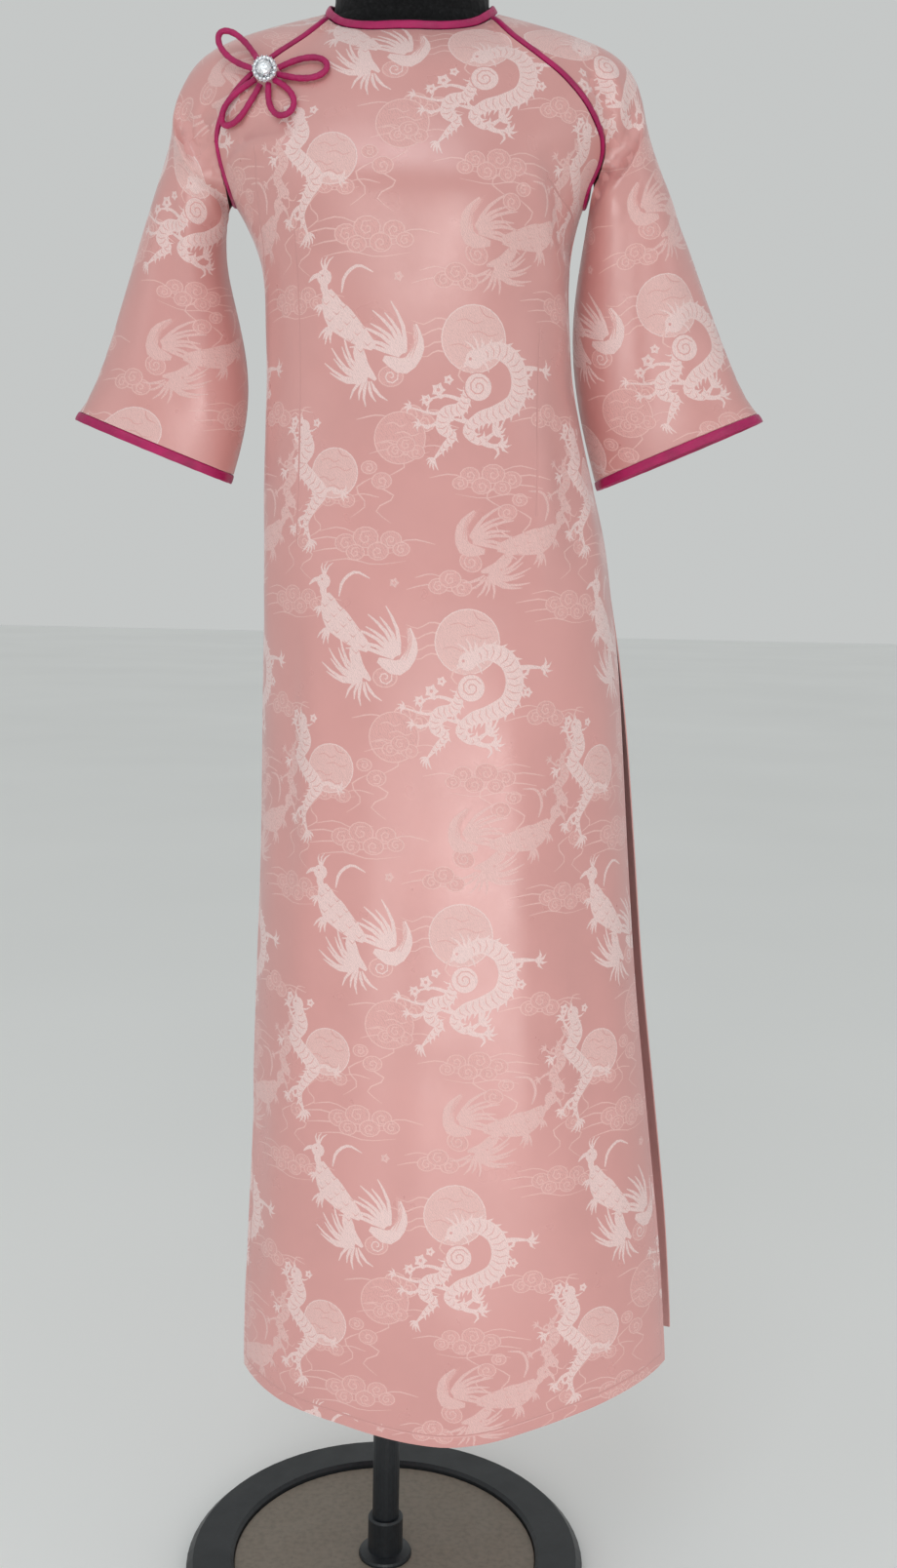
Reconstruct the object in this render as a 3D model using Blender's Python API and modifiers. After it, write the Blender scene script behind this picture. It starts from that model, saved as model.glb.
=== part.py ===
"""An ao dai tunic of jacquard satin, worn by a limbless dress form on a round base.

Metres, +Z up.  The origin is the middle of the base's underside.  The front of the
garment faces -Y, and +X is the wearer's left.  Cloth pieces are open surfaces worked
out from short tables of sections and thickened into walls.
"""
import math

import bmesh
import bpy
import numpy as np
from mathutils import Matrix, Vector
from mathutils.bvhtree import BVHTree

# ---- driving sizes -----------------------------------------------------------------
CLOTH = 0.0012              # wall of a cloth piece
SEAM_HALF_GAP = 0.0004      # half the space between two pieces at a seam
CENTRE_X = 0.004            # middle of the neck and shoulders
SEAM_LEAN = 0.0035          # the raglan seams lie this much toward the wearer's left
UNDERARM_Z = 1.243          # where side seam, sleeve and piping meet
SLIT_TOP_Z = 0.92           # the side seams end here and the slits begin

PIPING_RADIUS = 0.0022
BINDING_WIDTH = 0.0072
BINDING_THICKNESS = 0.0026
CUFF_BINDING_WIDTH = 0.0080
CORD_RADIUS = 0.0023        # the frog's covered cord

BASE_RING_RADIUS = 0.187
BASE_DISC_RADIUS = 0.143
BASE_RING_HEIGHT = 0.018
BASE_DISC_HEIGHT = 0.012
POLE_RADIUS = 0.0125
FORM_BOTTOM_Z = 0.74
NECK_TOP_Z = 1.468

# ---- tables ------------------------------------------------------------------------
# The garment's sections, from hem to neck.  left and right are the side edges in x,
# front_side and back_side the y of each panel at its side edge, front and back how far
# each panel stands out at its middle, back_flare how much wider the back hangs at the
# wearer's left, hold how far round the section closes (1 is all the way to the side,
# less is a free panel that hangs flatter).
BODY = {
    "z":          (0.19, 0.30, 0.40, 0.53, 0.65, 0.76, 0.85, 0.92, 0.965, 1.01, 1.05, 1.09,
                   1.14, 1.17, 1.20, 1.22, 1.247, 1.27, 1.29, 1.31, 1.33, 1.35, 1.37, 1.385, 1.40),
    "left":       (-.126, -.126, -.122, -.120, -.117, -.117, -.118, -.118, -.118, -.118, -.117, -.116,
                   -.117, -.118, -.123, -.131, -.146, -.157, -.165, -.170, -.171, -.166, -.148, -.115, -.070),
    "right":      (.256, .248, .238, .221, .209, .200, .193, .184, .177, .166, .156, .147,
                   .142, .140, .141, .144, .152, .162, .171, .177, .179, .174, .156, .123, .078),
    "front_side": (-.050, -.048, -.044, -.036, -.027, -.017, -.007, 0, 0, 0, 0, 0,
                   0, 0, 0, 0, 0, 0, 0, 0, 0, 0, 0, 0, 0),
    "back_side":  (.030, .030, .028, .024, .018, .011, .005, 0, 0, 0, 0, 0,
                   0, 0, 0, 0, 0, 0, 0, 0, 0, 0, 0, 0, 0),
    "back_flare": (.011, .011, .011, .010, .009, .007, .003, 0, 0, 0, 0, 0,
                   0, 0, 0, 0, 0, 0, 0, 0, 0, 0, 0, 0, 0),
    "front":      (.128, .128, .126, .124, .122, .119, .115, .110, .105, .101, .098, .097,
                   .101, .107, .114, .118, .120, .116, .110, .102, .093, .079, .059, .043, .020),
    "back":       (.094, .097, .100, .102, .104, .104, .101, .094, .087, .079, .073, .071,
                   .074, .078, .081, .083, .084, .084, .083, .080, .075, .068, .060, .053, .046),
    "hold":       (.93, .93, .94, .95, .96, .97, .985, 1, 1, 1, 1, 1,
                   1, 1, 1, 1, 1, 1, 1, 1, 1, 1, 1, 1, 1),
}
SQUARENESS = 2.35           # exponent of the sections: 2 is an ellipse, more is boxier
BUST = {"x": 0.070, "z": 1.232, "radius": 0.048, "height": 0.007}

# The hems, by place across the panel (-1 wearer's right edge, 1 wearer's left edge).
HEM = {
    "across": (-1.0, -0.85, -0.5, -0.2, 0.0, 0.5, 0.85, 1.0),
    "front":  (0.225, 0.218, 0.211, 0.202, 0.200, 0.224, 0.241, 0.247),
    "back":   (0.225, 0.215, 0.209, 0.206, 0.206, 0.211, 0.224, 0.238),
}

# The raglan seams, seen from the front and from the back: distance to the side of the
# neck's middle, and height, from the neckline to just above the underarm.
RAGLAN_FRONT = {
    "side": (.0730, .0900, .1140, .1330, .1465, .1540, .1555, .1535, .1500),
    "z":    (1.371, 1.352, 1.335, 1.318, 1.303, 1.290, 1.278, 1.265, 1.253),
}
RAGLAN_BACK = {
    "side": (.0700, .0900, .1120, .1290, .1410, .1475, .1490),
    "z":    (1.380, 1.360, 1.336, 1.311, 1.287, 1.265, 1.253),
}

# The neckline round the neck: angle from the front in degrees, and height.
NECKLINE = {
    "angle": (0, 25, 50, 72, 90, 115, 145, 180),
    "z":     (1.3690, 1.3700, 1.377, 1.389, 1.3975, 1.402, 1.403, 1.403),
}
NECK_SIDE = 0.0690
NECK_FRONT_Y = -0.0600
NECK_BACK_Y = 0.0460
FRONT_SEAM_ANGLE = 72       # where the front raglan seam meets the neckline
BACK_SEAM_ANGLE = 122
PIPING_DEGREES = 5.5        # the neckline left to each seam's piping, to either side

# The sleeves, a row for each section from the neck to the cuff.  seam is how far down
# the raglan seams the section starts (1 from the underarm on), crest the outermost
# line, inner the line below the arm, full the roundness, turn how far the cloth has
# turned forward where it leaves the seam.
SLEEVE = {
    "seam":        (0, .12, .26, .40, .53, .65, .77, .89, 1, 1, 1, 1, 1, 1, 1),
    "crest_side":  (.0690, .090, .120, .149, .170, .183, .191, .196, .204, .220, .237, .253, .269, .285, .300),
    "crest_y":     (.007, .006, .006, .005, .005, .004, .004, .004, .006, .009, .012, .014, .015, .015, .015),
    "crest_z":     (1.3975, 1.3890, 1.3800, 1.3705, 1.3615, 1.3490, 1.3310, 1.310, 1.289, 1.256, 1.217, 1.178,
                    1.140, 1.105, 1.078),
    "full":        (.40, .40, .41, .43, .47, .53, .61, .71, .84, .74, .62, .53, .46, .41, .37),
    "turn":        (0, 0, 0, .04, .10, .22, .42, .72, 1, 1, 1, 1, 1, 1, 1),
}
# Below the underarm each sleeve hangs a little differently (wearer's left, right).
SLEEVE_INNER = {
    "z":          (1.239, 1.205, 1.166, 1.128, 1.089, 1.051, 1.0195),
    "left_side":  (.1510, .1460, .1410, .1410, .1460, .1550, .1640),
    "left_y":     (.000, .012, .022, .026, .028, .030, .031),
    "right_side": (.1530, .1590, .1510, .1420, .1380, .1430, .1520),
    "right_y":    (.000, .008, .012, .014, .014, .014, .014),
}
CREST_DROP = {"left": 0.0, "right": 0.013}      # the wearer's right cuff hangs narrower

# The dress form: half width, front and back reach, and where its middle lies.
FORM = {
    "z":      (.74, .76, .80, .88, .96, 1.04, 1.10, 1.17, 1.235, 1.28, 1.315, 1.338, 1.354, 1.367, 1.378,
               1.390, 1.404, 1.430, 1.468),
    "half":   (.060, .100, .124, .130, .118, .105, .106, .110, .118, .134, .148, .144, .124, .098, .078,
               .0655, .0635, .0630, .0625),
    "front":  (.050, .080, .096, .098, .088, .076, .080, .093, .104, .097, .083, .069, .057, .045, .036,
               .038, .046, .0510, .0510),
    "back":   (.050, .080, .090, .090, .077, .061, .063, .068, .073, .072, .067, .061, .053, .046, .042,
               .0395, .0385, .0380, .0370),
    "middle": (.014, .016, .018, .019, .017, .014, .011, .008, .006, .005, .004, .004, .004, .004, .004,
               .004, .004, .004, .004),
}

# The frog: each loop's direction from the button in degrees, length and half width.
BUTTON_SIDE = -0.1025
BUTTON_Z = 1.3245
FROG = {
    "name":   ("upper", "inner", "lower", "outer"),
    "angle":  (144, 2, -61, -136),
    "length": (.051, .049, .041, .051),
    "half":   (.0102, .0104, .0112, .0104),
    "lift":   (.0100, 0, 0, 0),
}
BUTTON_RADIUS = 0.0100
CRYSTAL_RADIUS = 0.0052

SEAM_POINTS = 19            # points along each raglan seam
PANEL_COLUMNS = 16
EDGE_TURN = 1.40            # radians: columns crowd toward a panel's sides, where it curves most
SLEEVE_COLUMNS = 16
SEAM_STOPS = (1, 2, 3, 4, 5, 6, 8, 10, 12, 14, 16, 17)      # seam points that rows and piping share
PIPING_CLEAR = PIPING_RADIUS + 0.0011       # from a raglan seam to the cloth beside its piping
NECK_CLEAR = BINDING_WIDTH / 2 + 0.0010     # from the neckline's middle to the cloth below it


# ---- sections and surfaces ---------------------------------------------------------
def smooth(keys, values):
    """A smooth curve through a table's column, as a function of its key column."""
    keys = np.array(keys, dtype=float)
    values = np.array(values, dtype=float)
    slopes = np.gradient(values, keys, axis=0)

    def at(query):
        query = np.clip(np.asarray(query, dtype=float), keys[0], keys[-1])
        row = np.clip(np.searchsorted(keys, query, side="right") - 1, 0, len(keys) - 2)
        span = keys[row + 1] - keys[row]
        t = (query - keys[row]) / span
        if values.ndim > 1:
            t = t[..., None]
            span = span[..., None]
        start = (1 + 2 * t) * (1 - t) ** 2 * values[row] + t * (1 - t) ** 2 * span * slopes[row]
        end = t ** 2 * (3 - 2 * t) * values[row + 1] - t ** 2 * (1 - t) * span * slopes[row + 1]
        return start + end

    return at


body = {name: smooth(BODY["z"], column) for name, column in BODY.items() if name != "z"}
form = {name: smooth(FORM["z"], column) for name, column in FORM.items() if name != "z"}


def rounded(across, hold):
    """How far a section stands out at a place across it: 1 at the middle, 0 at the edge."""
    def bow(t):
        return np.maximum(1 - np.abs(t * hold) ** SQUARENESS, 0) ** (1 / SQUARENESS)

    return (bow(across) - bow(1.0)) / (1 - bow(1.0))


def front_y(x, z):
    """The front panel's surface."""
    left, right = body["left"](z), body["right"](z)
    across = np.clip((x - (left + right) / 2) / ((right - left) / 2), -1, 1)
    side = body["front_side"](z)
    y = side - (body["front"](z) + side) * rounded(across, body["hold"](z))
    for sign in (-1, 1):
        away = ((x - CENTRE_X - sign * BUST["x"]) ** 2 + (z - BUST["z"]) ** 2) / BUST["radius"] ** 2
        y = y - BUST["height"] * np.exp(-away)
    return y


def back_y(x, z):
    """The back panel's surface."""
    left, right = body["left"](z), body["right"](z) + body["back_flare"](z)
    across = np.clip((x - (left + right) / 2) / ((right - left) / 2), -1, 1)
    side = body["back_side"](z)
    return side + (body["back"](z) - side) * rounded(across, body["hold"](z))


def normal_of(surface, x, z, facing):
    """The outward normal of a panel surface y(x, z)."""
    step = 1e-4
    slope_x = (surface(x + step, z) - surface(x - step, z)) / (2 * step)
    slope_z = (surface(x, z + step) - surface(x, z - step)) / (2 * step)
    normal = Vector((float(slope_x), -1.0, float(slope_z))).normalized()
    return normal * facing


def seam_curve(table, surface, sign, angle, count):
    """A raglan seam as evenly spaced points, from below the neck binding to the underarm."""
    edge_of = body["right" if sign > 0 else "left"]
    points = [neckline_point(sign * angle, NECK_CLEAR)]
    for side, z in zip(table["side"], table["z"]):
        x = CENTRE_X + SEAM_LEAN + sign * side
        x = sign * min(sign * x, abs(float(edge_of(z))) * 0.992)
        points.append((x, float(surface(x, z)), z))
    points.append((float(edge_of(UNDERARM_Z)), 0.0, UNDERARM_Z))
    return even_points(points, count)


def even_points(points, count):
    """Evenly spaced points on the smooth curve through the given ones."""
    points = np.array(points, dtype=float)
    length = np.concatenate(([0], np.cumsum(np.linalg.norm(np.diff(points, axis=0), axis=1))))
    curve = smooth(length, points)
    return [Vector(p) for p in curve(np.linspace(0, length[-1], count))]


def neckline_up(degrees):
    """The way up the cloth at the neckline: it leans in toward the neck, most at the sides."""
    angle = math.radians(degrees)
    lean = 0.35 + 0.35 * math.sin(angle) ** 2
    return Vector((-lean * math.sin(angle), lean * math.cos(angle), 1)).normalized()


def neckline_point(degrees, lower=0.0):
    """A point of the neckline by its angle from the front, positive to the wearer's left."""
    angle = math.radians(degrees)
    middle = (NECK_FRONT_Y + NECK_BACK_Y) / 2
    depth = (NECK_BACK_Y - NECK_FRONT_Y) / 2
    turned = abs((degrees + 180) % 360 - 180)
    height = float(smooth(NECKLINE["angle"], NECKLINE["z"])(turned))
    edge = Vector((CENTRE_X + NECK_SIDE * math.sin(angle), middle - depth * math.cos(angle), height))
    return edge - neckline_up(degrees) * lower


# ---- making objects ----------------------------------------------------------------
def material(name, colour, roughness, metallic=0.0):
    made = bpy.data.materials.new(name)
    made.use_nodes = True
    shader = made.node_tree.nodes["Principled BSDF"]
    shader.inputs["Base Color"].default_value = (*colour, 1)
    shader.inputs["Roughness"].default_value = roughness
    shader.inputs["Metallic"].default_value = metallic
    made.diffuse_color = (*colour, 1)
    return made


def add_object(name, mesh, finish, smooth_angle=50):
    made = bpy.data.objects.new(name, mesh)
    PARTS.objects.link(made)
    mesh.materials.append(finish)
    mesh.shade_smooth()
    mesh.set_sharp_from_angle(angle=math.radians(smooth_angle))
    return made


def grid_mesh(name, rows, closed_from=None, closed_ends=False):
    """A surface through rows of points.  From row closed_from on, each row is a ring."""
    verts = []
    index = []
    for number, row in enumerate(rows):
        ring = closed_from is not None and number >= closed_from
        used = row[:-1] if ring else row
        start = len(verts)
        verts.extend(tuple(p) for p in used)
        places = list(range(start, start + len(used)))
        if ring:
            places.append(start)
        index.append(places)
    faces = []
    for lower, upper in zip(index, index[1:]):
        for c in range(len(lower) - 1):
            face = [lower[c], lower[c + 1], upper[c + 1], upper[c]]
            faces.append([v for n, v in enumerate(face) if v not in face[:n]])
    if closed_ends:
        faces.append(index[0][:-1][::-1])
        faces.append(index[-1][:-1])
    mesh = bpy.data.meshes.new(name)
    mesh.from_pydata(verts, [], faces)
    mesh.update()
    return mesh


def cloth_piece(name, rows, finish, closed_from=None):
    """A wall of cloth: the surface through the rows is its outer face."""
    piece = add_object(name, grid_mesh(name, rows, closed_from), finish)
    wall = piece.modifiers.new("wall", "SOLIDIFY")
    wall.thickness = CLOTH
    wall.offset = -1
    return piece


def strip(name, path, across, outward, width, thickness, finish, closed=True):
    """A binding: a flat rounded strip swept along a path, with its own way up at each point."""
    rows = []
    for point, way, out in zip(path, across, outward):
        ring = []
        for corner in range(8):
            angle = 2 * math.pi * (corner + 0.5) / 8
            ring.append(point + way * (width / 2 * math.cos(angle)) + out * (thickness / 2 * math.sin(angle)))
        rows.append(ring + ring[:1])
    if closed:
        rows.append(rows[0])
    mesh = grid_mesh(name, rows, closed_from=0, closed_ends=not closed)
    if closed:
        shape = bmesh.new()
        shape.from_mesh(mesh)
        bmesh.ops.remove_doubles(shape, verts=shape.verts, dist=1e-6)
        bmesh.ops.recalc_face_normals(shape, faces=shape.faces)
        shape.to_mesh(mesh)
        shape.free()
    return add_object(name, mesh, finish)


def tube(name, points, radius, finish, sides=2):
    """A cord along its points, as a curve with a round bevel and filled caps."""
    curve = bpy.data.curves.new(name, "CURVE")
    curve.dimensions = "3D"
    curve.bevel_depth = radius
    curve.bevel_resolution = sides
    curve.use_fill_caps = True
    spline = curve.splines.new("POLY")
    spline.points.add(len(points) - 1)
    for place, point in zip(spline.points, points):
        place.co = (*point, 1)
    curve.materials.append(finish)
    made = bpy.data.objects.new(name, curve)
    PARTS.objects.link(made)
    return made


def turned(name, profile, finish, steps=48, smooth_angle=40):
    """A turned solid about the Z axis from (radius, height) pairs, top to bottom."""
    rows = []
    for radius, height in profile:
        ring = []
        for step in range(steps):
            angle = 2 * math.pi * step / steps
            ring.append(Vector((radius * math.cos(angle), radius * math.sin(angle), height)))
        rows.append(ring + ring[:1])
    return add_object(name, grid_mesh(name, rows[::-1], closed_from=0, closed_ends=True), finish, smooth_angle)


# ---- the stand and the form --------------------------------------------------------
def build_stand():
    disc = BASE_DISC_RADIUS - 0.0003
    profile = [(BASE_RING_RADIUS, 0), (BASE_RING_RADIUS, 0.012), (BASE_RING_RADIUS - 0.006, BASE_RING_HEIGHT),
               (BASE_DISC_RADIUS + 0.003, BASE_RING_HEIGHT), (BASE_DISC_RADIUS, 0.015), (BASE_DISC_RADIUS, 0)]
    steps = 72
    rows = []
    for step in range(steps + 1):
        angle = 2 * math.pi * step / steps
        ring = [Vector((r * math.cos(angle), r * math.sin(angle), z)) for r, z in profile]
        rows.append(ring + ring[:1])
    mesh = grid_mesh("base_ring", rows, closed_from=0)
    shape = bmesh.new()
    shape.from_mesh(mesh)
    bmesh.ops.remove_doubles(shape, verts=shape.verts, dist=1e-6)
    bmesh.ops.recalc_face_normals(shape, faces=shape.faces)
    shape.to_mesh(mesh)
    shape.free()
    add_object("base_ring", mesh, BLACK_PAINT, 30)
    turned("base_disc", [(disc - 0.001, BASE_DISC_HEIGHT), (disc, BASE_DISC_HEIGHT - 0.001), (disc, 0)],
           DISC_PAINT, 72)
    foot = BASE_DISC_HEIGHT + 0.0003
    turned("pole_foot", [(0.0150, foot + 0.040), (0.0165, foot + 0.038), (0.0165, foot + 0.006),
                         (0.0240, foot + 0.004), (0.0250, foot + 0.002), (0.0250, foot)], BLACK_PAINT, 32)
    turned("pole", [(POLE_RADIUS, FORM_BOTTOM_Z - 0.0003), (POLE_RADIUS, foot + 0.0403)], BLACK_PAINT, 24)


def build_form():
    heights = [FORM_BOTTOM_Z, 0.75, 0.765, 0.79, 0.83, 0.88, 0.93, 0.98, 1.04, 1.10, 1.16, 1.20, 1.235, 1.265,
               1.295, 1.318, 1.336, 1.350, 1.362, 1.372, 1.381, 1.390, 1.402, 1.430, NECK_TOP_Z]
    around = 36
    rows = []
    for z in heights:
        half, middle = float(form["half"](z)), float(form["middle"](z))
        ring = []
        for step in range(around):
            angle = 2 * math.pi * step / around
            c, s = math.cos(angle), math.sin(angle)
            reach = float(form["back"](z)) if s > 0 else float(form["front"](z))
            power = 2 / 2.15
            ring.append(Vector((middle + half * math.copysign(abs(c) ** power, c),
                                reach * math.copysign(abs(s) ** power, s), z)))
        rows.append(ring + ring[:1])
    add_object("form_body", grid_mesh("form_body", rows, closed_from=0, closed_ends=True), FORM_CLOTH)
    middle_y = (float(form["back"](NECK_TOP_Z)) - float(form["front"](NECK_TOP_Z))) / 2
    base = NECK_TOP_Z + 0.0003
    cap = turned("neck_cap", [(0.016, base + 0.0155), (0.032, base + 0.0135), (0.0395, base + 0.0095),
                              (0.0425, base + 0.004), (0.0425, base)], BLACK_PAINT, 36)
    cap.data.transform(Matrix.Translation((CENTRE_X, middle_y, 0)))


# ---- the tunic's pieces ------------------------------------------------------------
SIDES = {"right": -1, "left": 1}            # the wearer's sides, as the sign of x


def raglan(sign, of_back):
    """One raglan seam: its points, and the way from the panel into the sleeve along the cloth."""
    surface, facing = (back_y, -1) if of_back else (front_y, 1)
    table, angle = (RAGLAN_BACK, BACK_SEAM_ANGLE) if of_back else (RAGLAN_FRONT, FRONT_SEAM_ANGLE)
    points = seam_curve(table, surface, sign, angle, SEAM_POINTS)
    outs = []
    for number, point in enumerate(points[:-1]):
        along = (points[number + 1] - points[max(number - 1, 0)]).normalized()
        out = along.cross(normal_of(surface, point.x, point.z, facing))
        if out.dot(Vector((sign, 0, 0.8))) < 0:
            out.negate()
        outs.append(out.normalized())
    outs.append(Vector((0, 0, 1)))
    return points, outs


def panel(name, of_back, finish):
    """Front or back: rows from the hem to the underarm, then between the raglan seams to the neckline."""
    surface, hem = (back_y, "back") if of_back else (front_y, "front")
    shift = SEAM_HALF_GAP if of_back else -SEAM_HALF_GAP
    across = np.sin(np.linspace(-1, 1, PANEL_COLUMNS + 1) * EDGE_TURN) / math.sin(EDGE_TURN)
    hem_z = smooth(HEM["across"], HEM[hem])(across)
    heights = [hem_z + (SLIT_TOP_Z - hem_z) * share for share in (0, .04, .17, .33, .50, .66, .80, .91)]
    heights += [np.full(len(across), z) for z in (.92, .965, 1.01, 1.055, 1.10, 1.14, 1.175, 1.205, 1.227)]
    heights.append(np.full(len(across), UNDERARM_Z - PIPING_CLEAR))
    rows = []
    for z in heights:
        left, right = body["left"](z), body["right"](z) + body["back_flare"](z) * of_back
        x = (left + right) / 2 + (right - left) / 2 * across
        rows.append([Vector(p) for p in zip(x, surface(x, z) + shift, z)])
    rows.extend(yoke_rows(rows[-1], of_back, surface, shift))
    if of_back:
        rows = [row[::-1] for row in rows]
    return cloth_piece(name, rows, finish)


def yoke_rows(base, of_back, surface, shift):
    """The rows above the underarm, spread between the two raglan seams and the neckline."""
    sides = []
    for sign in (-1, 1):
        points, outs = raglan(sign, of_back)
        sides.append([point - out * PIPING_CLEAR for point, out in zip(points, outs)][::-1])
    columns = len(base)
    if of_back:
        end = BACK_SEAM_ANGLE + PIPING_DEGREES
        angles = np.linspace(-end, end - 360, columns)
    else:
        end = FRONT_SEAM_ANGLE - PIPING_DEGREES
        angles = np.linspace(-end, end, columns)
    neck = [neckline_point(angle, NECK_CLEAR) for angle in angles]
    sides[0][-1], sides[1][-1] = neck[0], neck[-1]
    ease = [p.y - float(surface(p.x, p.z)) for p in neck]
    rows = []
    for number in SEAM_STOPS:
        t = number / (SEAM_POINTS - 1)
        row = []
        for column in range(columns):
            s = column / (columns - 1)
            corners = (base[0].lerp(base[-1], s)) * (1 - t) + (neck[0].lerp(neck[-1], s)) * t
            flat = base[column].lerp(neck[column], t) + sides[0][number].lerp(sides[1][number], s) - corners
            y = float(surface(flat.x, flat.z)) + ease[column] * t ** 6
            row.append(Vector((flat.x, y + shift, flat.z)))
        row[0], row[-1] = sides[0][number].copy(), sides[1][number].copy()
        row[0].y += shift
        row[-1].y += shift
        rows.append(row)
    rows.append(neck)
    return rows


def arc(start, start_way, end, end_way, fullness, count):
    """A cubic from start to end that leaves and arrives along the given ways."""
    reach = (end - start).length * fullness
    first, second = start + start_way * reach, end + end_way * reach
    points = []
    for t in np.linspace(0, 1, count + 1):
        points.append(start * (1 - t) ** 3 + first * (3 * t * (1 - t) ** 2)
                      + second * (3 * t * t * (1 - t)) + end * t ** 3)
    return points


def sleeve_row(side, place, columns):
    """One section of a sleeve, from its front seam over the outside to its back seam."""
    sign = SIDES[side]
    stations = np.arange(len(SLEEVE["seam"]))
    at = {name: float(smooth(stations, column)(place)) for name, column in SLEEVE.items()}
    closed_at = SLEEVE["seam"].index(1)
    hang = max(place - closed_at, 0) / (stations[-1] - closed_at)
    crest_side = at["crest_side"] - CREST_DROP[side] * hang
    crest = Vector((CENTRE_X + sign * crest_side, at["crest_y"], at["crest_z"] - 0.006 * hang * (sign < 0)))
    ends = []
    if place >= closed_at:
        inner_place = (place - closed_at) * (len(SLEEVE_INNER["z"]) - 1) / (stations[-1] - closed_at)
        knots = np.arange(len(SLEEVE_INNER["z"]))
        inner = {name: float(smooth(knots, column)(inner_place)) for name, column in SLEEVE_INNER.items()}
        start = Vector((CENTRE_X + sign * inner[side + "_side"], inner[side + "_y"], inner["z"]))
        for way in (-1, 1):
            ends.append((start, Vector((0, way, 0))))
    else:
        turn = at["turn"]
        for of_back in (False, True):
            points, outs = SEAMS[side, of_back]
            number = round(at["seam"] * (SEAM_POINTS - 1))
            point, out = points[number], outs[number]
            sideways = Vector((sign, 0, -0.2)).normalized()
            away = (out * (1 - turn) + sideways * turn).normalized()
            fold = Vector((0.5 * sign, 1 if of_back else -1, -0.2)).normalized()
            clear = PIPING_CLEAR + 1.3 * CLOTH * turn
            ends.append((point + away * clear, (out * (1 - turn) + fold * turn).normalized()))
    half = columns // 2
    front = arc(ends[0][0], ends[0][1], crest, Vector((0, -1, 0)), at["full"], half)
    rear = arc(crest, Vector((0, 1, 0)), ends[1][0], ends[1][1], at["full"], half)
    return front + rear[1:]


def sleeve_rows(side):
    """All the sections of a sleeve, and which of them is the first closed ring."""
    start, end = FRONT_SEAM_ANGLE + PIPING_DEGREES, BACK_SEAM_ANGLE - PIPING_DEGREES
    angles = np.linspace(start, end, SLEEVE_COLUMNS + 1)
    rows = [[neckline_point(SIDES[side] * angle, NECK_CLEAR) for angle in angles]]
    closed_at = SLEEVE["seam"].index(1)
    last = len(SLEEVE["seam"]) - 1
    place_of = smooth(SLEEVE["seam"][:closed_at + 1], np.arange(closed_at + 1))
    places = [float(place_of(1 - stop / (SEAM_POINTS - 1))) for stop in SEAM_STOPS[::-1]]
    places += list(np.arange(closed_at, last + 0.01, 0.6))
    rows += [sleeve_row(side, place, SLEEVE_COLUMNS) for place in places]
    return rows, 1 + places.index(closed_at)


def build_sleeve(side):
    rows, closed_from = sleeve_rows(side)
    cuff, above = rows[-1], sleeve_row(side, len(SLEEVE["seam"]) - 1.6, SLEEVE_COLUMNS)
    down = [(low - high).normalized() for low, high in zip(cuff, above)]
    centre = sum(cuff[:-1], Vector()) / (len(cuff) - 1)
    path = [point + way * (CUFF_BINDING_WIDTH / 2 + 0.0005) for point, way in zip(cuff[:-1], down)]
    outward = []
    for number, point in enumerate(path):
        along = path[(number + 1) % len(path)] - path[number - 1]
        out = along.cross(down[number]).normalized()
        if out.dot(point - centre) < 0:
            out.negate()
        outward.append(out)
    if side == "right":
        rows = [row[::-1] for row in rows]
    cloth_piece("sleeve_" + side, rows, SATIN, closed_from)
    inset = [point - out * (CLOTH / 2) for point, out in zip(path, outward)]
    strip("cuff_binding_" + side, inset, down[:-1], outward, CUFF_BINDING_WIDTH, BINDING_THICKNESS, TRIM)


def build_trim():
    angles = np.linspace(0, 360, 49)[:-1]
    path = [neckline_point(angle) for angle in angles]
    ups = [neckline_up(angle) for angle in angles]
    outward = []
    for number, up in enumerate(ups):
        along = path[(number + 1) % len(path)] - path[number - 1]
        outward.append(up.cross(along).normalized())
    inset = [point - out * (CLOTH / 2) for point, out in zip(path, outward)]
    strip("neck_binding", inset, ups, outward, BINDING_WIDTH, BINDING_THICKNESS, TRIM)
    for side in SIDES:
        front, rear = SEAMS[side, False][0][::-1], SEAMS[side, True][0][::-1]
        stops = [front[number] for number in SEAM_STOPS[::-1]]
        path = [front[-1].lerp(front[-2], 0.4)] + stops + [front[0]]
        path += [rear[number] for number in SEAM_STOPS] + [rear[-1].lerp(rear[-2], 0.4)]
        tube("raglan_piping_" + side, path, PIPING_RADIUS, TRIM)


# ---- the frog and its button -------------------------------------------------------
def outer_surfaces():
    """Search trees of the pieces that the frog lies on."""
    bpy.context.view_layer.update()
    graph = bpy.context.evaluated_depsgraph_get()
    trees = []
    for name in ("front_panel", "sleeve_right", "raglan_piping_right"):
        shape = bmesh.new()
        shape.from_mesh(bpy.data.objects[name].evaluated_get(graph).to_mesh())
        trees.append(BVHTree.FromBMesh(shape))
        shape.free()
    return trees


def lying_on(trees, x, z, clear):
    """The point just in front of whatever is foremost at a place seen from the front."""
    foremost = 1.0
    for dx, dz in ((0, 0), (clear, 0), (-clear, 0), (0, clear), (0, -clear)):
        for tree in trees:
            hit = tree.ray_cast(Vector((x + dx, -0.5, z + dz)), Vector((0, 1, 0)), 0.62)
            if hit[0] is not None:
                foremost = min(foremost, hit[0].y)
    return foremost


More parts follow.
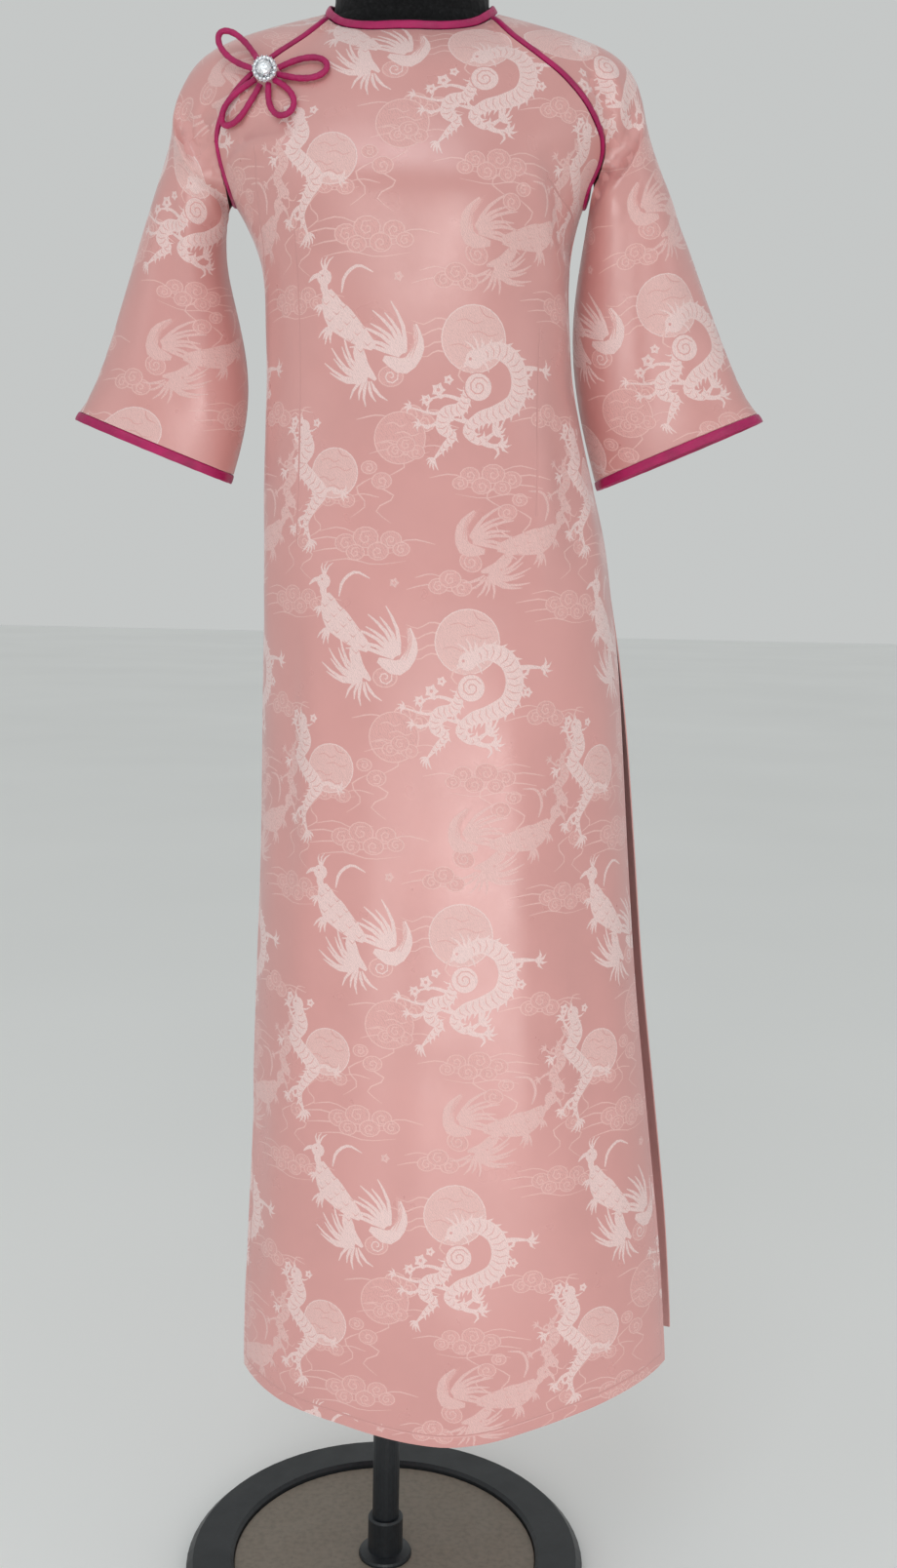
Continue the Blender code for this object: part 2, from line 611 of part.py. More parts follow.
def build_frog():
    trees = outer_surfaces()
    start = 0.0098
    for name, angle, length, half, lift in zip(*FROG.values()):
        way = math.radians(angle)
        along, beside = Vector((math.cos(way), math.sin(way))), Vector((-math.sin(way), math.cos(way)))
        flat = []
        for step in range(25):
            turn = 2 * math.pi * step / 24
            reach = start + (length - start) * (1 - math.cos(turn)) / 2
            narrow = 0.0030 * (1 + math.cos(turn)) / 2
            width = half * math.sin(turn) * abs(math.sin(turn / 2)) ** 1.1
            flat.append((reach, width + math.copysign(narrow, math.pi - turn)))
        flat[12] = (length, 0.0)
        points = []
        for reach, width in flat:
            spot = along * reach + beside * width
            x, z = BUTTON_SIDE + spot.x, BUTTON_Z + spot.y
            share = (reach / length) ** 2
            y = lying_on(trees, x, z, CORD_RADIUS)
            points.append(Vector((x, y - CORD_RADIUS - 0.0009 - lift * share, z + lift * 0.6 * share)))
        eased = [points[0]]
        for number in range(1, len(points) - 1):
            y = min(points[number].y, (points[number - 1].y + points[number + 1].y) / 2)
            eased.append(Vector((points[number].x, y, points[number].z)))
        tube("frog_loop_" + name, eased + [points[-1]], CORD_RADIUS, TRIM)
    foremost = lying_on(trees, BUTTON_SIDE, BUTTON_Z, BUTTON_RADIUS)
    back = foremost - 2 * CORD_RADIUS - 0.0038
    tilt = Matrix.Translation((BUTTON_SIDE, back, BUTTON_Z)) @ Matrix.Rotation(math.radians(90), 4, "X")
    setting = turned("button_setting", [(BUTTON_RADIUS * .62, .0030), (BUTTON_RADIUS * .96, .0026),
                                        (BUTTON_RADIUS, .0016), (BUTTON_RADIUS * .9, 0)], SILVER, 28)
    crystal = turned("button_crystal", [(CRYSTAL_RADIUS * .55, .0068), (CRYSTAL_RADIUS, .0050),
                                        (CRYSTAL_RADIUS, .0042), (CRYSTAL_RADIUS * .8, .0033)], CRYSTAL, 12, 10)
    for piece in (setting, crystal):
        piece.data.transform(tilt)


# ---- build -------------------------------------------------------------------------
for old in list(bpy.data.objects):
    bpy.data.objects.remove(old)

PARTS = bpy.data.collections.new("ao_dai_tunic")
bpy.context.scene.collection.children.link(PARTS)

SATIN = material("pink_satin", (0.62, 0.29, 0.26), 0.42)
TRIM = material("magenta_satin", (0.38, 0.0, 0.09), 0.45)
FORM_CLOTH = material("black_form_cover", (0.012, 0.012, 0.014), 0.85)
BLACK_PAINT = material("black_paint", (0.010, 0.012, 0.014), 0.35)
DISC_PAINT = material("taupe_paint", (0.20, 0.17, 0.14), 0.55)
SILVER = material("silver", (0.80, 0.80, 0.82), 0.2, 1.0)
CRYSTAL = material("crystal", (0.90, 0.92, 0.95), 0.05)

SEAMS = {(side, of_back): raglan(sign, of_back) for side, sign in SIDES.items() for of_back in (False, True)}

build_stand()
build_form()
panel("front_panel", False, SATIN)
panel("back_panel", True, SATIN)
for side in SIDES:
    build_sleeve(side)
build_trim()
build_frog()
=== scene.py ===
"""The looks of the ao dai tunic: jacquard satin panels and sleeves, magenta bindings,
a looped frog with its rhinestone button, and the dress form that wears it.

Metres, +Z up, front facing -Y, +X the wearer's left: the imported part's own frame.
"""
import math

import bmesh
import bpy
import numpy as np
from mathutils import Matrix, Vector
from mathutils.bvhtree import BVHTree
from mathutils.geometry import delaunay_2d_cdt


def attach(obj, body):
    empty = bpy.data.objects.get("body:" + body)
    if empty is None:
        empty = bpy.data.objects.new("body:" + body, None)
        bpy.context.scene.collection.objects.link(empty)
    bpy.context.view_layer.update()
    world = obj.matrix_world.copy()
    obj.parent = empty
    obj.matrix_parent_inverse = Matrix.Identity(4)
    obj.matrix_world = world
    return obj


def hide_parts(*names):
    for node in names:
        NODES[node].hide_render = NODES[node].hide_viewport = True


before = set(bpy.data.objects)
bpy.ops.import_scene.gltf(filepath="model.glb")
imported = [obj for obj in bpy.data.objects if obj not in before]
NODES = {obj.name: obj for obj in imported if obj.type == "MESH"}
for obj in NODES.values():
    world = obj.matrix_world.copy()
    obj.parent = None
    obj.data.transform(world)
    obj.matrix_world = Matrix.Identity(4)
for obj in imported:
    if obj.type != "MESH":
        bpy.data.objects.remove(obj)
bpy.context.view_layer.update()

# ---- driving sizes -----------------------------------------------------------------
CLOTH = 0.0012              # wall of a cloth piece
SEAM_HALF_GAP = 0.0004      # half the space between two pieces at a seam
CENTRE_X = 0.004            # middle of the neck and shoulders
SEAM_LEAN = 0.0035          # the raglan seams lie this much toward the wearer's left
UNDERARM_Z = 1.243          # where side seam, sleeve and piping meet
SLIT_TOP_Z = 0.92           # the side seams end here and the slits begin

PIPING_RADIUS = 0.0022
BINDING_WIDTH = 0.0072
BINDING_THICKNESS = 0.0026
CUFF_BINDING_WIDTH = 0.0080
CORD_RADIUS = 0.0023        # the frog's covered cord

# ---- tables ------------------------------------------------------------------------
# The garment's sections, from hem to neck.  left and right are the side edges in x,
# front_side and back_side the y of each panel at its side edge, front and back how far
# each panel stands out at its middle, back_flare how much wider the back hangs at the
# wearer's left, hold how far round the section closes (1 is all the way to the side,
# less is a free panel that hangs flatter).
BODY = {
    "z":          (0.19, 0.30, 0.40, 0.53, 0.65, 0.76, 0.85, 0.92, 0.965, 1.01, 1.05, 1.09,
                   1.14, 1.17, 1.20, 1.22, 1.247, 1.27, 1.29, 1.31, 1.33, 1.35, 1.37, 1.385, 1.40),
    "left":       (-.126, -.126, -.122, -.120, -.117, -.117, -.118, -.118, -.118, -.118, -.117, -.116,
                   -.117, -.118, -.123, -.131, -.146, -.157, -.165, -.170, -.171, -.166, -.148, -.115, -.070),
    "right":      (.256, .248, .238, .221, .209, .200, .193, .184, .177, .166, .156, .147,
                   .142, .140, .141, .144, .152, .162, .171, .177, .179, .174, .156, .123, .078),
    "front_side": (-.050, -.048, -.044, -.036, -.027, -.017, -.007, 0, 0, 0, 0, 0,
                   0, 0, 0, 0, 0, 0, 0, 0, 0, 0, 0, 0, 0),
    "back_side":  (.030, .030, .028, .024, .018, .011, .005, 0, 0, 0, 0, 0,
                   0, 0, 0, 0, 0, 0, 0, 0, 0, 0, 0, 0, 0),
    "back_flare": (.011, .011, .011, .010, .009, .007, .003, 0, 0, 0, 0, 0,
                   0, 0, 0, 0, 0, 0, 0, 0, 0, 0, 0, 0, 0),
    "front":      (.128, .128, .126, .124, .122, .119, .115, .110, .105, .101, .098, .097,
                   .101, .107, .114, .118, .120, .116, .110, .102, .093, .079, .059, .043, .020),
    "back":       (.094, .097, .100, .102, .104, .104, .101, .094, .087, .079, .073, .071,
                   .074, .078, .081, .083, .084, .084, .083, .080, .075, .068, .060, .053, .046),
    "hold":       (.93, .93, .94, .95, .96, .97, .985, 1, 1, 1, 1, 1,
                   1, 1, 1, 1, 1, 1, 1, 1, 1, 1, 1, 1, 1),
}
SQUARENESS = 2.35           # exponent of the sections: 2 is an ellipse, more is boxier
BUST = {"x": 0.070, "z": 1.232, "radius": 0.048, "height": 0.007}

# The hems, by place across the panel (-1 wearer's right edge, 1 wearer's left edge).
HEM = {
    "across": (-1.0, -0.85, -0.5, -0.2, 0.0, 0.5, 0.85, 1.0),
    "front":  (0.225, 0.218, 0.211, 0.202, 0.200, 0.224, 0.241, 0.247),
    "back":   (0.225, 0.215, 0.209, 0.206, 0.206, 0.211, 0.224, 0.238),
}

# The raglan seams, seen from the front and from the back: distance to the side of the
# neck's middle, and height, from the neckline to just above the underarm.
RAGLAN_FRONT = {
    "side": (.0730, .0900, .1140, .1330, .1465, .1540, .1555, .1535, .1500),
    "z":    (1.371, 1.352, 1.335, 1.318, 1.303, 1.290, 1.278, 1.265, 1.253),
}
RAGLAN_BACK = {
    "side": (.0700, .0900, .1120, .1290, .1410, .1475, .1490),
    "z":    (1.380, 1.360, 1.336, 1.311, 1.287, 1.265, 1.253),
}

# The neckline round the neck: angle from the front in degrees, and height.
NECKLINE = {
    "angle": (0, 25, 50, 72, 90, 115, 145, 180),
    "z":     (1.3690, 1.3700, 1.377, 1.389, 1.3975, 1.402, 1.403, 1.403),
}
NECK_SIDE = 0.0690
NECK_FRONT_Y = -0.0600
NECK_BACK_Y = 0.0460
FRONT_SEAM_ANGLE = 72       # where the front raglan seam meets the neckline
BACK_SEAM_ANGLE = 122
PIPING_DEGREES = 5.5        # the neckline left to each seam's piping, to either side

# The sleeves, a row for each section from the neck to the cuff.  seam is how far down
# the raglan seams the section starts (1 from the underarm on), crest the outermost
# line, inner the line below the arm, full the roundness, turn how far the cloth has
# turned forward where it leaves the seam.
SLEEVE = {
    "seam":        (0, .12, .26, .40, .53, .65, .77, .89, 1, 1, 1, 1, 1, 1, 1),
    "crest_side":  (.0690, .090, .120, .149, .170, .183, .191, .196, .204, .220, .237, .253, .269, .285, .300),
    "crest_y":     (.007, .006, .006, .005, .005, .004, .004, .004, .006, .009, .012, .014, .015, .015, .015),
    "crest_z":     (1.3975, 1.3890, 1.3800, 1.3705, 1.3615, 1.3490, 1.3310, 1.310, 1.289, 1.256, 1.217, 1.178,
                    1.140, 1.105, 1.078),
    "full":        (.40, .40, .41, .43, .47, .53, .61, .71, .84, .74, .62, .53, .46, .41, .37),
    "turn":        (0, 0, 0, .04, .10, .22, .42, .72, 1, 1, 1, 1, 1, 1, 1),
}
# Below the underarm each sleeve hangs a little differently (wearer's left, right).
SLEEVE_INNER = {
    "z":          (1.239, 1.205, 1.166, 1.128, 1.089, 1.051, 1.0195),
    "left_side":  (.1510, .1460, .1410, .1410, .1460, .1550, .1640),
    "left_y":     (.000, .012, .022, .026, .028, .030, .031),
    "right_side": (.1530, .1590, .1510, .1420, .1380, .1430, .1520),
    "right_y":    (.000, .008, .012, .014, .014, .014, .014),
}
CREST_DROP = {"left": 0.0, "right": 0.013}      # the wearer's right cuff hangs narrower

# The frog: each loop's direction from the button in degrees, length and half width.
BUTTON_SIDE = -0.1025
BUTTON_Z = 1.3245
FROG = {
    "name":   ("upper", "inner", "lower", "outer"),
    "angle":  (144, 2, -61, -136),
    "length": (.051, .049, .041, .051),
    "half":   (.0102, .0104, .0112, .0104),
    "lift":   (.0100, 0, 0, 0),
}
BUTTON_RADIUS = 0.0100
CRYSTAL_RADIUS = 0.0052

SEAM_POINTS = 19            # points along each raglan seam
PANEL_COLUMNS = 16
EDGE_TURN = 1.40            # radians: columns crowd toward a panel's sides, where it curves most
SLEEVE_COLUMNS = 16
SEAM_STOPS = (1, 2, 3, 4, 5, 6, 8, 10, 12, 14, 16, 17)      # seam points that rows and piping share
PIPING_CLEAR = PIPING_RADIUS + 0.0011       # from a raglan seam to the cloth beside its piping
NECK_CLEAR = BINDING_WIDTH / 2 + 0.0010     # from the neckline's middle to the cloth below it


# ---- sections and surfaces ---------------------------------------------------------
def smooth(keys, values):
    """A smooth curve through a table's column, as a function of its key column."""
    keys = np.array(keys, dtype=float)
    values = np.array(values, dtype=float)
    slopes = np.gradient(values, keys, axis=0)

    def at(query):
        query = np.clip(np.asarray(query, dtype=float), keys[0], keys[-1])
        row = np.clip(np.searchsorted(keys, query, side="right") - 1, 0, len(keys) - 2)
        span = keys[row + 1] - keys[row]
        t = (query - keys[row]) / span
        if values.ndim > 1:
            t = t[..., None]
            span = span[..., None]
        start = (1 + 2 * t) * (1 - t) ** 2 * values[row] + t * (1 - t) ** 2 * span * slopes[row]
        end = t ** 2 * (3 - 2 * t) * values[row + 1] - t ** 2 * (1 - t) * span * slopes[row + 1]
        return start + end

    return at


body = {name: smooth(BODY["z"], column) for name, column in BODY.items() if name != "z"}


def rounded(across, hold):
    """How far a section stands out at a place across it: 1 at the middle, 0 at the edge."""
    def bow(t):
        return np.maximum(1 - np.abs(t * hold) ** SQUARENESS, 0) ** (1 / SQUARENESS)

    return (bow(across) - bow(1.0)) / (1 - bow(1.0))


def front_y(x, z):
    """The front panel's surface."""
    left, right = body["left"](z), body["right"](z)
    across = np.clip((x - (left + right) / 2) / ((right - left) / 2), -1, 1)
    side = body["front_side"](z)
    y = side - (body["front"](z) + side) * rounded(across, body["hold"](z))
    for sign in (-1, 1):
        away = ((x - CENTRE_X - sign * BUST["x"]) ** 2 + (z - BUST["z"]) ** 2) / BUST["radius"] ** 2
        y = y - BUST["height"] * np.exp(-away)
    return y


def back_y(x, z):
    """The back panel's surface."""
    left, right = body["left"](z), body["right"](z) + body["back_flare"](z)
    across = np.clip((x - (left + right) / 2) / ((right - left) / 2), -1, 1)
    side = body["back_side"](z)
    return side + (body["back"](z) - side) * rounded(across, body["hold"](z))


def normal_of(surface, x, z, facing):
    """The outward normal of a panel surface y(x, z)."""
    step = 1e-4
    slope_x = (surface(x + step, z) - surface(x - step, z)) / (2 * step)
    slope_z = (surface(x, z + step) - surface(x, z - step)) / (2 * step)
    normal = Vector((float(slope_x), -1.0, float(slope_z))).normalized()
    return normal * facing


def seam_curve(table, surface, sign, angle, count):
    """A raglan seam as evenly spaced points, from below the neck binding to the underarm."""
    edge_of = body["right" if sign > 0 else "left"]
    points = [neckline_point(sign * angle, NECK_CLEAR)]
    for side, z in zip(table["side"], table["z"]):
        x = CENTRE_X + SEAM_LEAN + sign * side
        x = sign * min(sign * x, abs(float(edge_of(z))) * 0.992)
        points.append((x, float(surface(x, z)), z))
    points.append((float(edge_of(UNDERARM_Z)), 0.0, UNDERARM_Z))
    return even_points(points, count)


def run_along(points):
    """Lengths along a line of points, from its start."""
    return np.concatenate(([0], np.cumsum(np.linalg.norm(np.diff(points, axis=0), axis=1))))


def even_points(points, count):
    """Evenly spaced points on the smooth curve through the given ones."""
    points = np.array(points, dtype=float)
    length = run_along(points)
    curve = smooth(length, points)
    return [Vector(p) for p in curve(np.linspace(0, length[-1], count))]


def neckline_up(degrees):
    """The way up the cloth at the neckline: it leans in toward the neck, most at the sides."""
    angle = math.radians(degrees)
    lean = 0.35 + 0.35 * math.sin(angle) ** 2
    return Vector((-lean * math.sin(angle), lean * math.cos(angle), 1)).normalized()


def neckline_point(degrees, lower=0.0):
    """A point of the neckline by its angle from the front, positive to the wearer's left."""
    angle = math.radians(degrees)
    middle = (NECK_FRONT_Y + NECK_BACK_Y) / 2
    depth = (NECK_BACK_Y - NECK_FRONT_Y) / 2
    turned = abs((degrees + 180) % 360 - 180)
    height = float(smooth(NECKLINE["angle"], NECKLINE["z"])(turned))
    edge = Vector((CENTRE_X + NECK_SIDE * math.sin(angle), middle - depth * math.cos(angle), height))
    return edge - neckline_up(degrees) * lower


def raglan(sign, of_back):
    """One raglan seam: its points, and the way from the panel into the sleeve along the cloth."""
    surface, facing = (back_y, -1) if of_back else (front_y, 1)
    table, angle = (RAGLAN_BACK, BACK_SEAM_ANGLE) if of_back else (RAGLAN_FRONT, FRONT_SEAM_ANGLE)
    points = seam_curve(table, surface, sign, angle, SEAM_POINTS)
    outs = []
    for number, point in enumerate(points[:-1]):
        along = (points[number + 1] - points[max(number - 1, 0)]).normalized()
        out = along.cross(normal_of(surface, point.x, point.z, facing))
        if out.dot(Vector((sign, 0, 0.8))) < 0:
            out.negate()
        outs.append(out.normalized())
    outs.append(Vector((0, 0, 1)))
    return points, outs


def yoke_rows(base, of_back, surface, shift):
    """The rows above the underarm, spread between the two raglan seams and the neckline."""
    sides = []
    for sign in (-1, 1):
        points, outs = raglan(sign, of_back)
        sides.append([point - out * PIPING_CLEAR for point, out in zip(points, outs)][::-1])
    columns = len(base)
    if of_back:
        end = BACK_SEAM_ANGLE + PIPING_DEGREES
        angles = np.linspace(-end, end - 360, columns)
    else:
        end = FRONT_SEAM_ANGLE - PIPING_DEGREES
        angles = np.linspace(-end, end, columns)
    neck = [neckline_point(angle, NECK_CLEAR) for angle in angles]
    sides[0][-1], sides[1][-1] = neck[0], neck[-1]
    ease = [p.y - float(surface(p.x, p.z)) for p in neck]
    rows = []
    for number in SEAM_STOPS:
        t = number / (SEAM_POINTS - 1)
        row = []
        for column in range(columns):
            s = column / (columns - 1)
            corners = (base[0].lerp(base[-1], s)) * (1 - t) + (neck[0].lerp(neck[-1], s)) * t
            flat = base[column].lerp(neck[column], t) + sides[0][number].lerp(sides[1][number], s) - corners
            y = float(surface(flat.x, flat.z)) + ease[column] * t ** 6
            row.append(Vector((flat.x, y + shift, flat.z)))
        row[0], row[-1] = sides[0][number].copy(), sides[1][number].copy()
        row[0].y += shift
        row[-1].y += shift
        rows.append(row)
    rows.append(neck)
    return rows


def arc(start, start_way, end, end_way, fullness, count):
    """A cubic from start to end that leaves and arrives along the given ways."""
    reach = (end - start).length * fullness
    first, second = start + start_way * reach, end + end_way * reach
    points = []
    for t in np.linspace(0, 1, count + 1):
        points.append(start * (1 - t) ** 3 + first * (3 * t * (1 - t) ** 2)
                      + second * (3 * t * t * (1 - t)) + end * t ** 3)
    return points


def sleeve_row(side, place, columns):
    """One section of a sleeve, from its front seam over the outside to its back seam."""
    sign = SIDES[side]
    stations = np.arange(len(SLEEVE["seam"]))
    at = {name: float(smooth(stations, column)(place)) for name, column in SLEEVE.items()}
    closed_at = SLEEVE["seam"].index(1)
    hang = max(place - closed_at, 0) / (stations[-1] - closed_at)
    crest_side = at["crest_side"] - CREST_DROP[side] * hang
    crest = Vector((CENTRE_X + sign * crest_side, at["crest_y"], at["crest_z"] - 0.006 * hang * (sign < 0)))
    ends = []
    if place >= closed_at:
        inner_place = (place - closed_at) * (len(SLEEVE_INNER["z"]) - 1) / (stations[-1] - closed_at)
        knots = np.arange(len(SLEEVE_INNER["z"]))
        inner = {name: float(smooth(knots, column)(inner_place)) for name, column in SLEEVE_INNER.items()}
        start = Vector((CENTRE_X + sign * inner[side + "_side"], inner[side + "_y"], inner["z"]))
        for way in (-1, 1):
            ends.append((start, Vector((0, way, 0))))
    else:
        turn = at["turn"]
        for of_back in (False, True):
            points, outs = SEAMS[side, of_back]
            number = round(at["seam"] * (SEAM_POINTS - 1))
            point, out = points[number], outs[number]
            sideways = Vector((sign, 0, -0.2)).normalized()
            away = (out * (1 - turn) + sideways * turn).normalized()
            fold = Vector((0.5 * sign, 1 if of_back else -1, -0.2)).normalized()
            clear = PIPING_CLEAR + 1.3 * CLOTH * turn
            ends.append((point + away * clear, (out * (1 - turn) + fold * turn).normalized()))
    half = columns // 2
    front = arc(ends[0][0], ends[0][1], crest, Vector((0, -1, 0)), at["full"], half)
    rear = arc(crest, Vector((0, 1, 0)), ends[1][0], ends[1][1], at["full"], half)
    return front + rear[1:]


def sleeve_rows(side):
    """All the sections of a sleeve, and which of them is the first closed ring."""
    start, end = FRONT_SEAM_ANGLE + PIPING_DEGREES, BACK_SEAM_ANGLE - PIPING_DEGREES
    angles = np.linspace(start, end, SLEEVE_COLUMNS + 1)
    rows = [[neckline_point(SIDES[side] * angle, NECK_CLEAR) for angle in angles]]
    closed_at = SLEEVE["seam"].index(1)
    last = len(SLEEVE["seam"]) - 1
    place_of = smooth(SLEEVE["seam"][:closed_at + 1], np.arange(closed_at + 1))
    places = [float(place_of(1 - stop / (SEAM_POINTS - 1))) for stop in SEAM_STOPS[::-1]]
    places += list(np.arange(closed_at, last + 0.01, 0.6))
    rows += [sleeve_row(side, place, SLEEVE_COLUMNS) for place in places]
    return rows, 1 + places.index(closed_at)


# ---- drawing the woven figures -------------------------------------------------------
GROUND, FAINT, OUTLINE, MEDIUM, BRIGHT, REVERSE = range(6)
REPEAT_WIDE = 0.240         # the jacquard's repeat
REPEAT_HIGH = 0.239


class Drawing:
    """Flat shapes in drawing order: corners, faces, and each face's weave and tilt."""

    def __init__(self):
        self.points, self.faces, self.weaves, self.tilts = [], [], [], []

    def face(self, corners, weave, tilt=(0, 0)):
        start = len(self.points)
        self.points.extend((float(x), float(y)) for x, y in corners)
        self.faces.append(list(range(start, start + len(corners))))
        self.weaves.append(weave)
        self.tilts.append(tilt)

    def strip(self, left, right, weave, tilt=(0, 0)):
        """The shape between two lines: one face, or a row of small ones where it crosses itself."""
        left, right = np.array(left, dtype=float), np.array(right, dtype=float)
        whole = np.concatenate((left, right[::-1]))
        if not crosses_itself(whole):
            self.face(whole, weave, tilt)
            return
        for n in range(len(left) - 1):
            self.face((left[n], right[n], right[n + 1]), weave, tilt)
            self.face((left[n], right[n + 1], left[n + 1]), weave, tilt)

    def stroke(self, points, width, weave, ease=(0.3, 0.6), steps=8):
        """A ribbon along a curve that swells from its start and thins to its end."""
        line = curve(points, steps)
        way = np.gradient(line, axis=0)
        way /= np.linalg.norm(way, axis=1)[:, None] + 1e-12
        side = np.stack((-way[:, 1], way[:, 0]), 1)
        t = np.linspace(0, 1, len(line))
        swell = np.minimum(1, np.minimum((t + 0.04) / max(ease[0], 0.04), (1.04 - t) / max(ease[1], 0.04)))
        half = (width / 2 * np.sqrt(swell))[:, None]
        self.strip(line + side * half, line - side * half, weave)

    def disc(self, x, y, radius, weave, sides=14, squash=1.0, turn=0.0):
        angles = np.linspace(0, 2 * math.pi, sides + 1)[:-1] + turn
        self.face(np.stack((x + radius * np.cos(angles), y + radius * squash * np.sin(angles)), 1), weave)

    def fan(self, x, y, angles, inner, reach, width, weave, bend=0.25, steps=4):
        """Feathers or rays about a point, each bowed a little."""
        for number, angle in enumerate(np.radians(angles)):
            out = reach * (1 - 0.14 * (number % 2))
            middle = angle + bend * 0.5
            self.stroke([(x + inner * math.cos(angle), y + inner * math.sin(angle)),
                         (x + (inner + out) * 0.55 * math.cos(middle), y + (inner + out) * 0.55 * math.sin(middle)),
                         (x + out * math.cos(angle + bend), y + out * math.sin(angle + bend))],
                        width, weave, (0.3, 0.7), steps)

    def spiral(self, x, y, radius, turns, width, weave, start=0.0, hand=1, steps=11):
        t = np.linspace(0, 1, steps)
        angle = start + hand * turns * 2 * math.pi * t
        r = radius * (1 - 0.86 * t)
        self.stroke(np.stack((x + r * np.cos(angle), y + r * np.sin(angle)), 1), width, weave, (0.1, 0.2), steps)

    def placed(self, other, dx, dy, scale=1.0, flip=1, turn=0.0, weave=None):
        """Another drawing set down here, moved, scaled, mirrored or turned."""
        start = len(self.points)
        c, s = math.cos(turn) * scale, math.sin(turn) * scale
        self.points.extend((dx + (px * c - py * s) * flip, dy + px * s + py * c) for px, py in other.points)
        self.faces.extend([start + n for n in face] for face in other.faces)
        self.weaves.extend(min(w, weave) if weave else w for w in other.weaves)
        self.tilts.extend(other.tilts)

    def sorted_out(self):
        """Turns every face the same way round and leaves out the slivers."""
        places = np.array(self.points)
        kept = []
        for face, weave, tilt in zip(self.faces, self.weaves, self.tilts):
            corners = places[face]
            area = signed_area(corners)
            if abs(area) > 1e-5 * np.linalg.norm(corners - np.roll(corners, 1, 0), axis=1).sum():
                kept.append((face if area > 0 else face[::-1], weave, tilt))
        self.faces, self.weaves, self.tilts = ([part[n] for part in kept] for n in range(3))
        return self


def crosses_itself(corners):
    """Whether any two edges of a closed outline cross."""
    start, end = corners, np.roll(corners, -1, 0)
    x, y = (start[:, None, n] for n in (0, 1))
    dx, dy = ((end - start)[:, None, n] for n in (0, 1))
    sides = [dx * (p[None, :, 1] - y) - dy * (p[None, :, 0] - x) for p in (start, end)]
    split = sides[0] * sides[1] < 0
    far = np.abs(np.subtract.outer(np.arange(len(corners)), np.arange(len(corners))))
    return (split & split.T & (far > 1) & (far < len(corners) - 1)).any()


def signed_area(points):
    """The area of a flat outline, above 0 when it runs anticlockwise."""
    x, y = points.T
    return (x * np.roll(y, -1) - np.roll(x, -1) * y).sum() / 2


def curve(points, steps):
    """Evenly spaced places on the smooth curve through points."""
    points = np.array(points, dtype=float)
    if len(points) == steps:
        return points
    length = run_along(points)
    return smooth(length, points)(np.linspace(0, length[-1], steps))


def cloud(lobes, wisps, fill=FAINT, edge=OUTLINE):
    """A curling cloud: overlapping lobes with a line round each and a curl inside, and wisps."""
    made = Drawing()
    for points, width in wisps:
        made.stroke(points, width, edge, (0.25, 0.7), 8)
    for x, y, radius, hand in lobes:
        made.disc(x, y, radius, edge, 12, 0.80, 0.2 * hand)
        made.disc(x, y, radius - 0.0009, fill, 12, 0.80, 0.2 * hand)
        made.spiral(x, y - radius * 0.05, radius * 0.60, 1.25, 0.0010, edge, 1.0 * hand, hand, 8)
    return made


def claws(made, x, y, angle, size, weave):
    """A foot with four hooked claws spread about an angle in degrees."""
    made.disc(x, y, size * 0.30, weave, 7)
    root = np.array((x, y))
    for turn in (-75, -28, 20, 68):
        a = math.radians(angle + turn)
        along, beside, hooked = (size * np.array((math.cos(t), math.sin(t)))
                                 for t in (a, a + math.pi / 2, a + 0.35))
        beside, middle = beside * 0.13, root + along * 0.55
        made.face([root - beside, middle - beside, root + hooked, middle + beside, root + beside], weave)


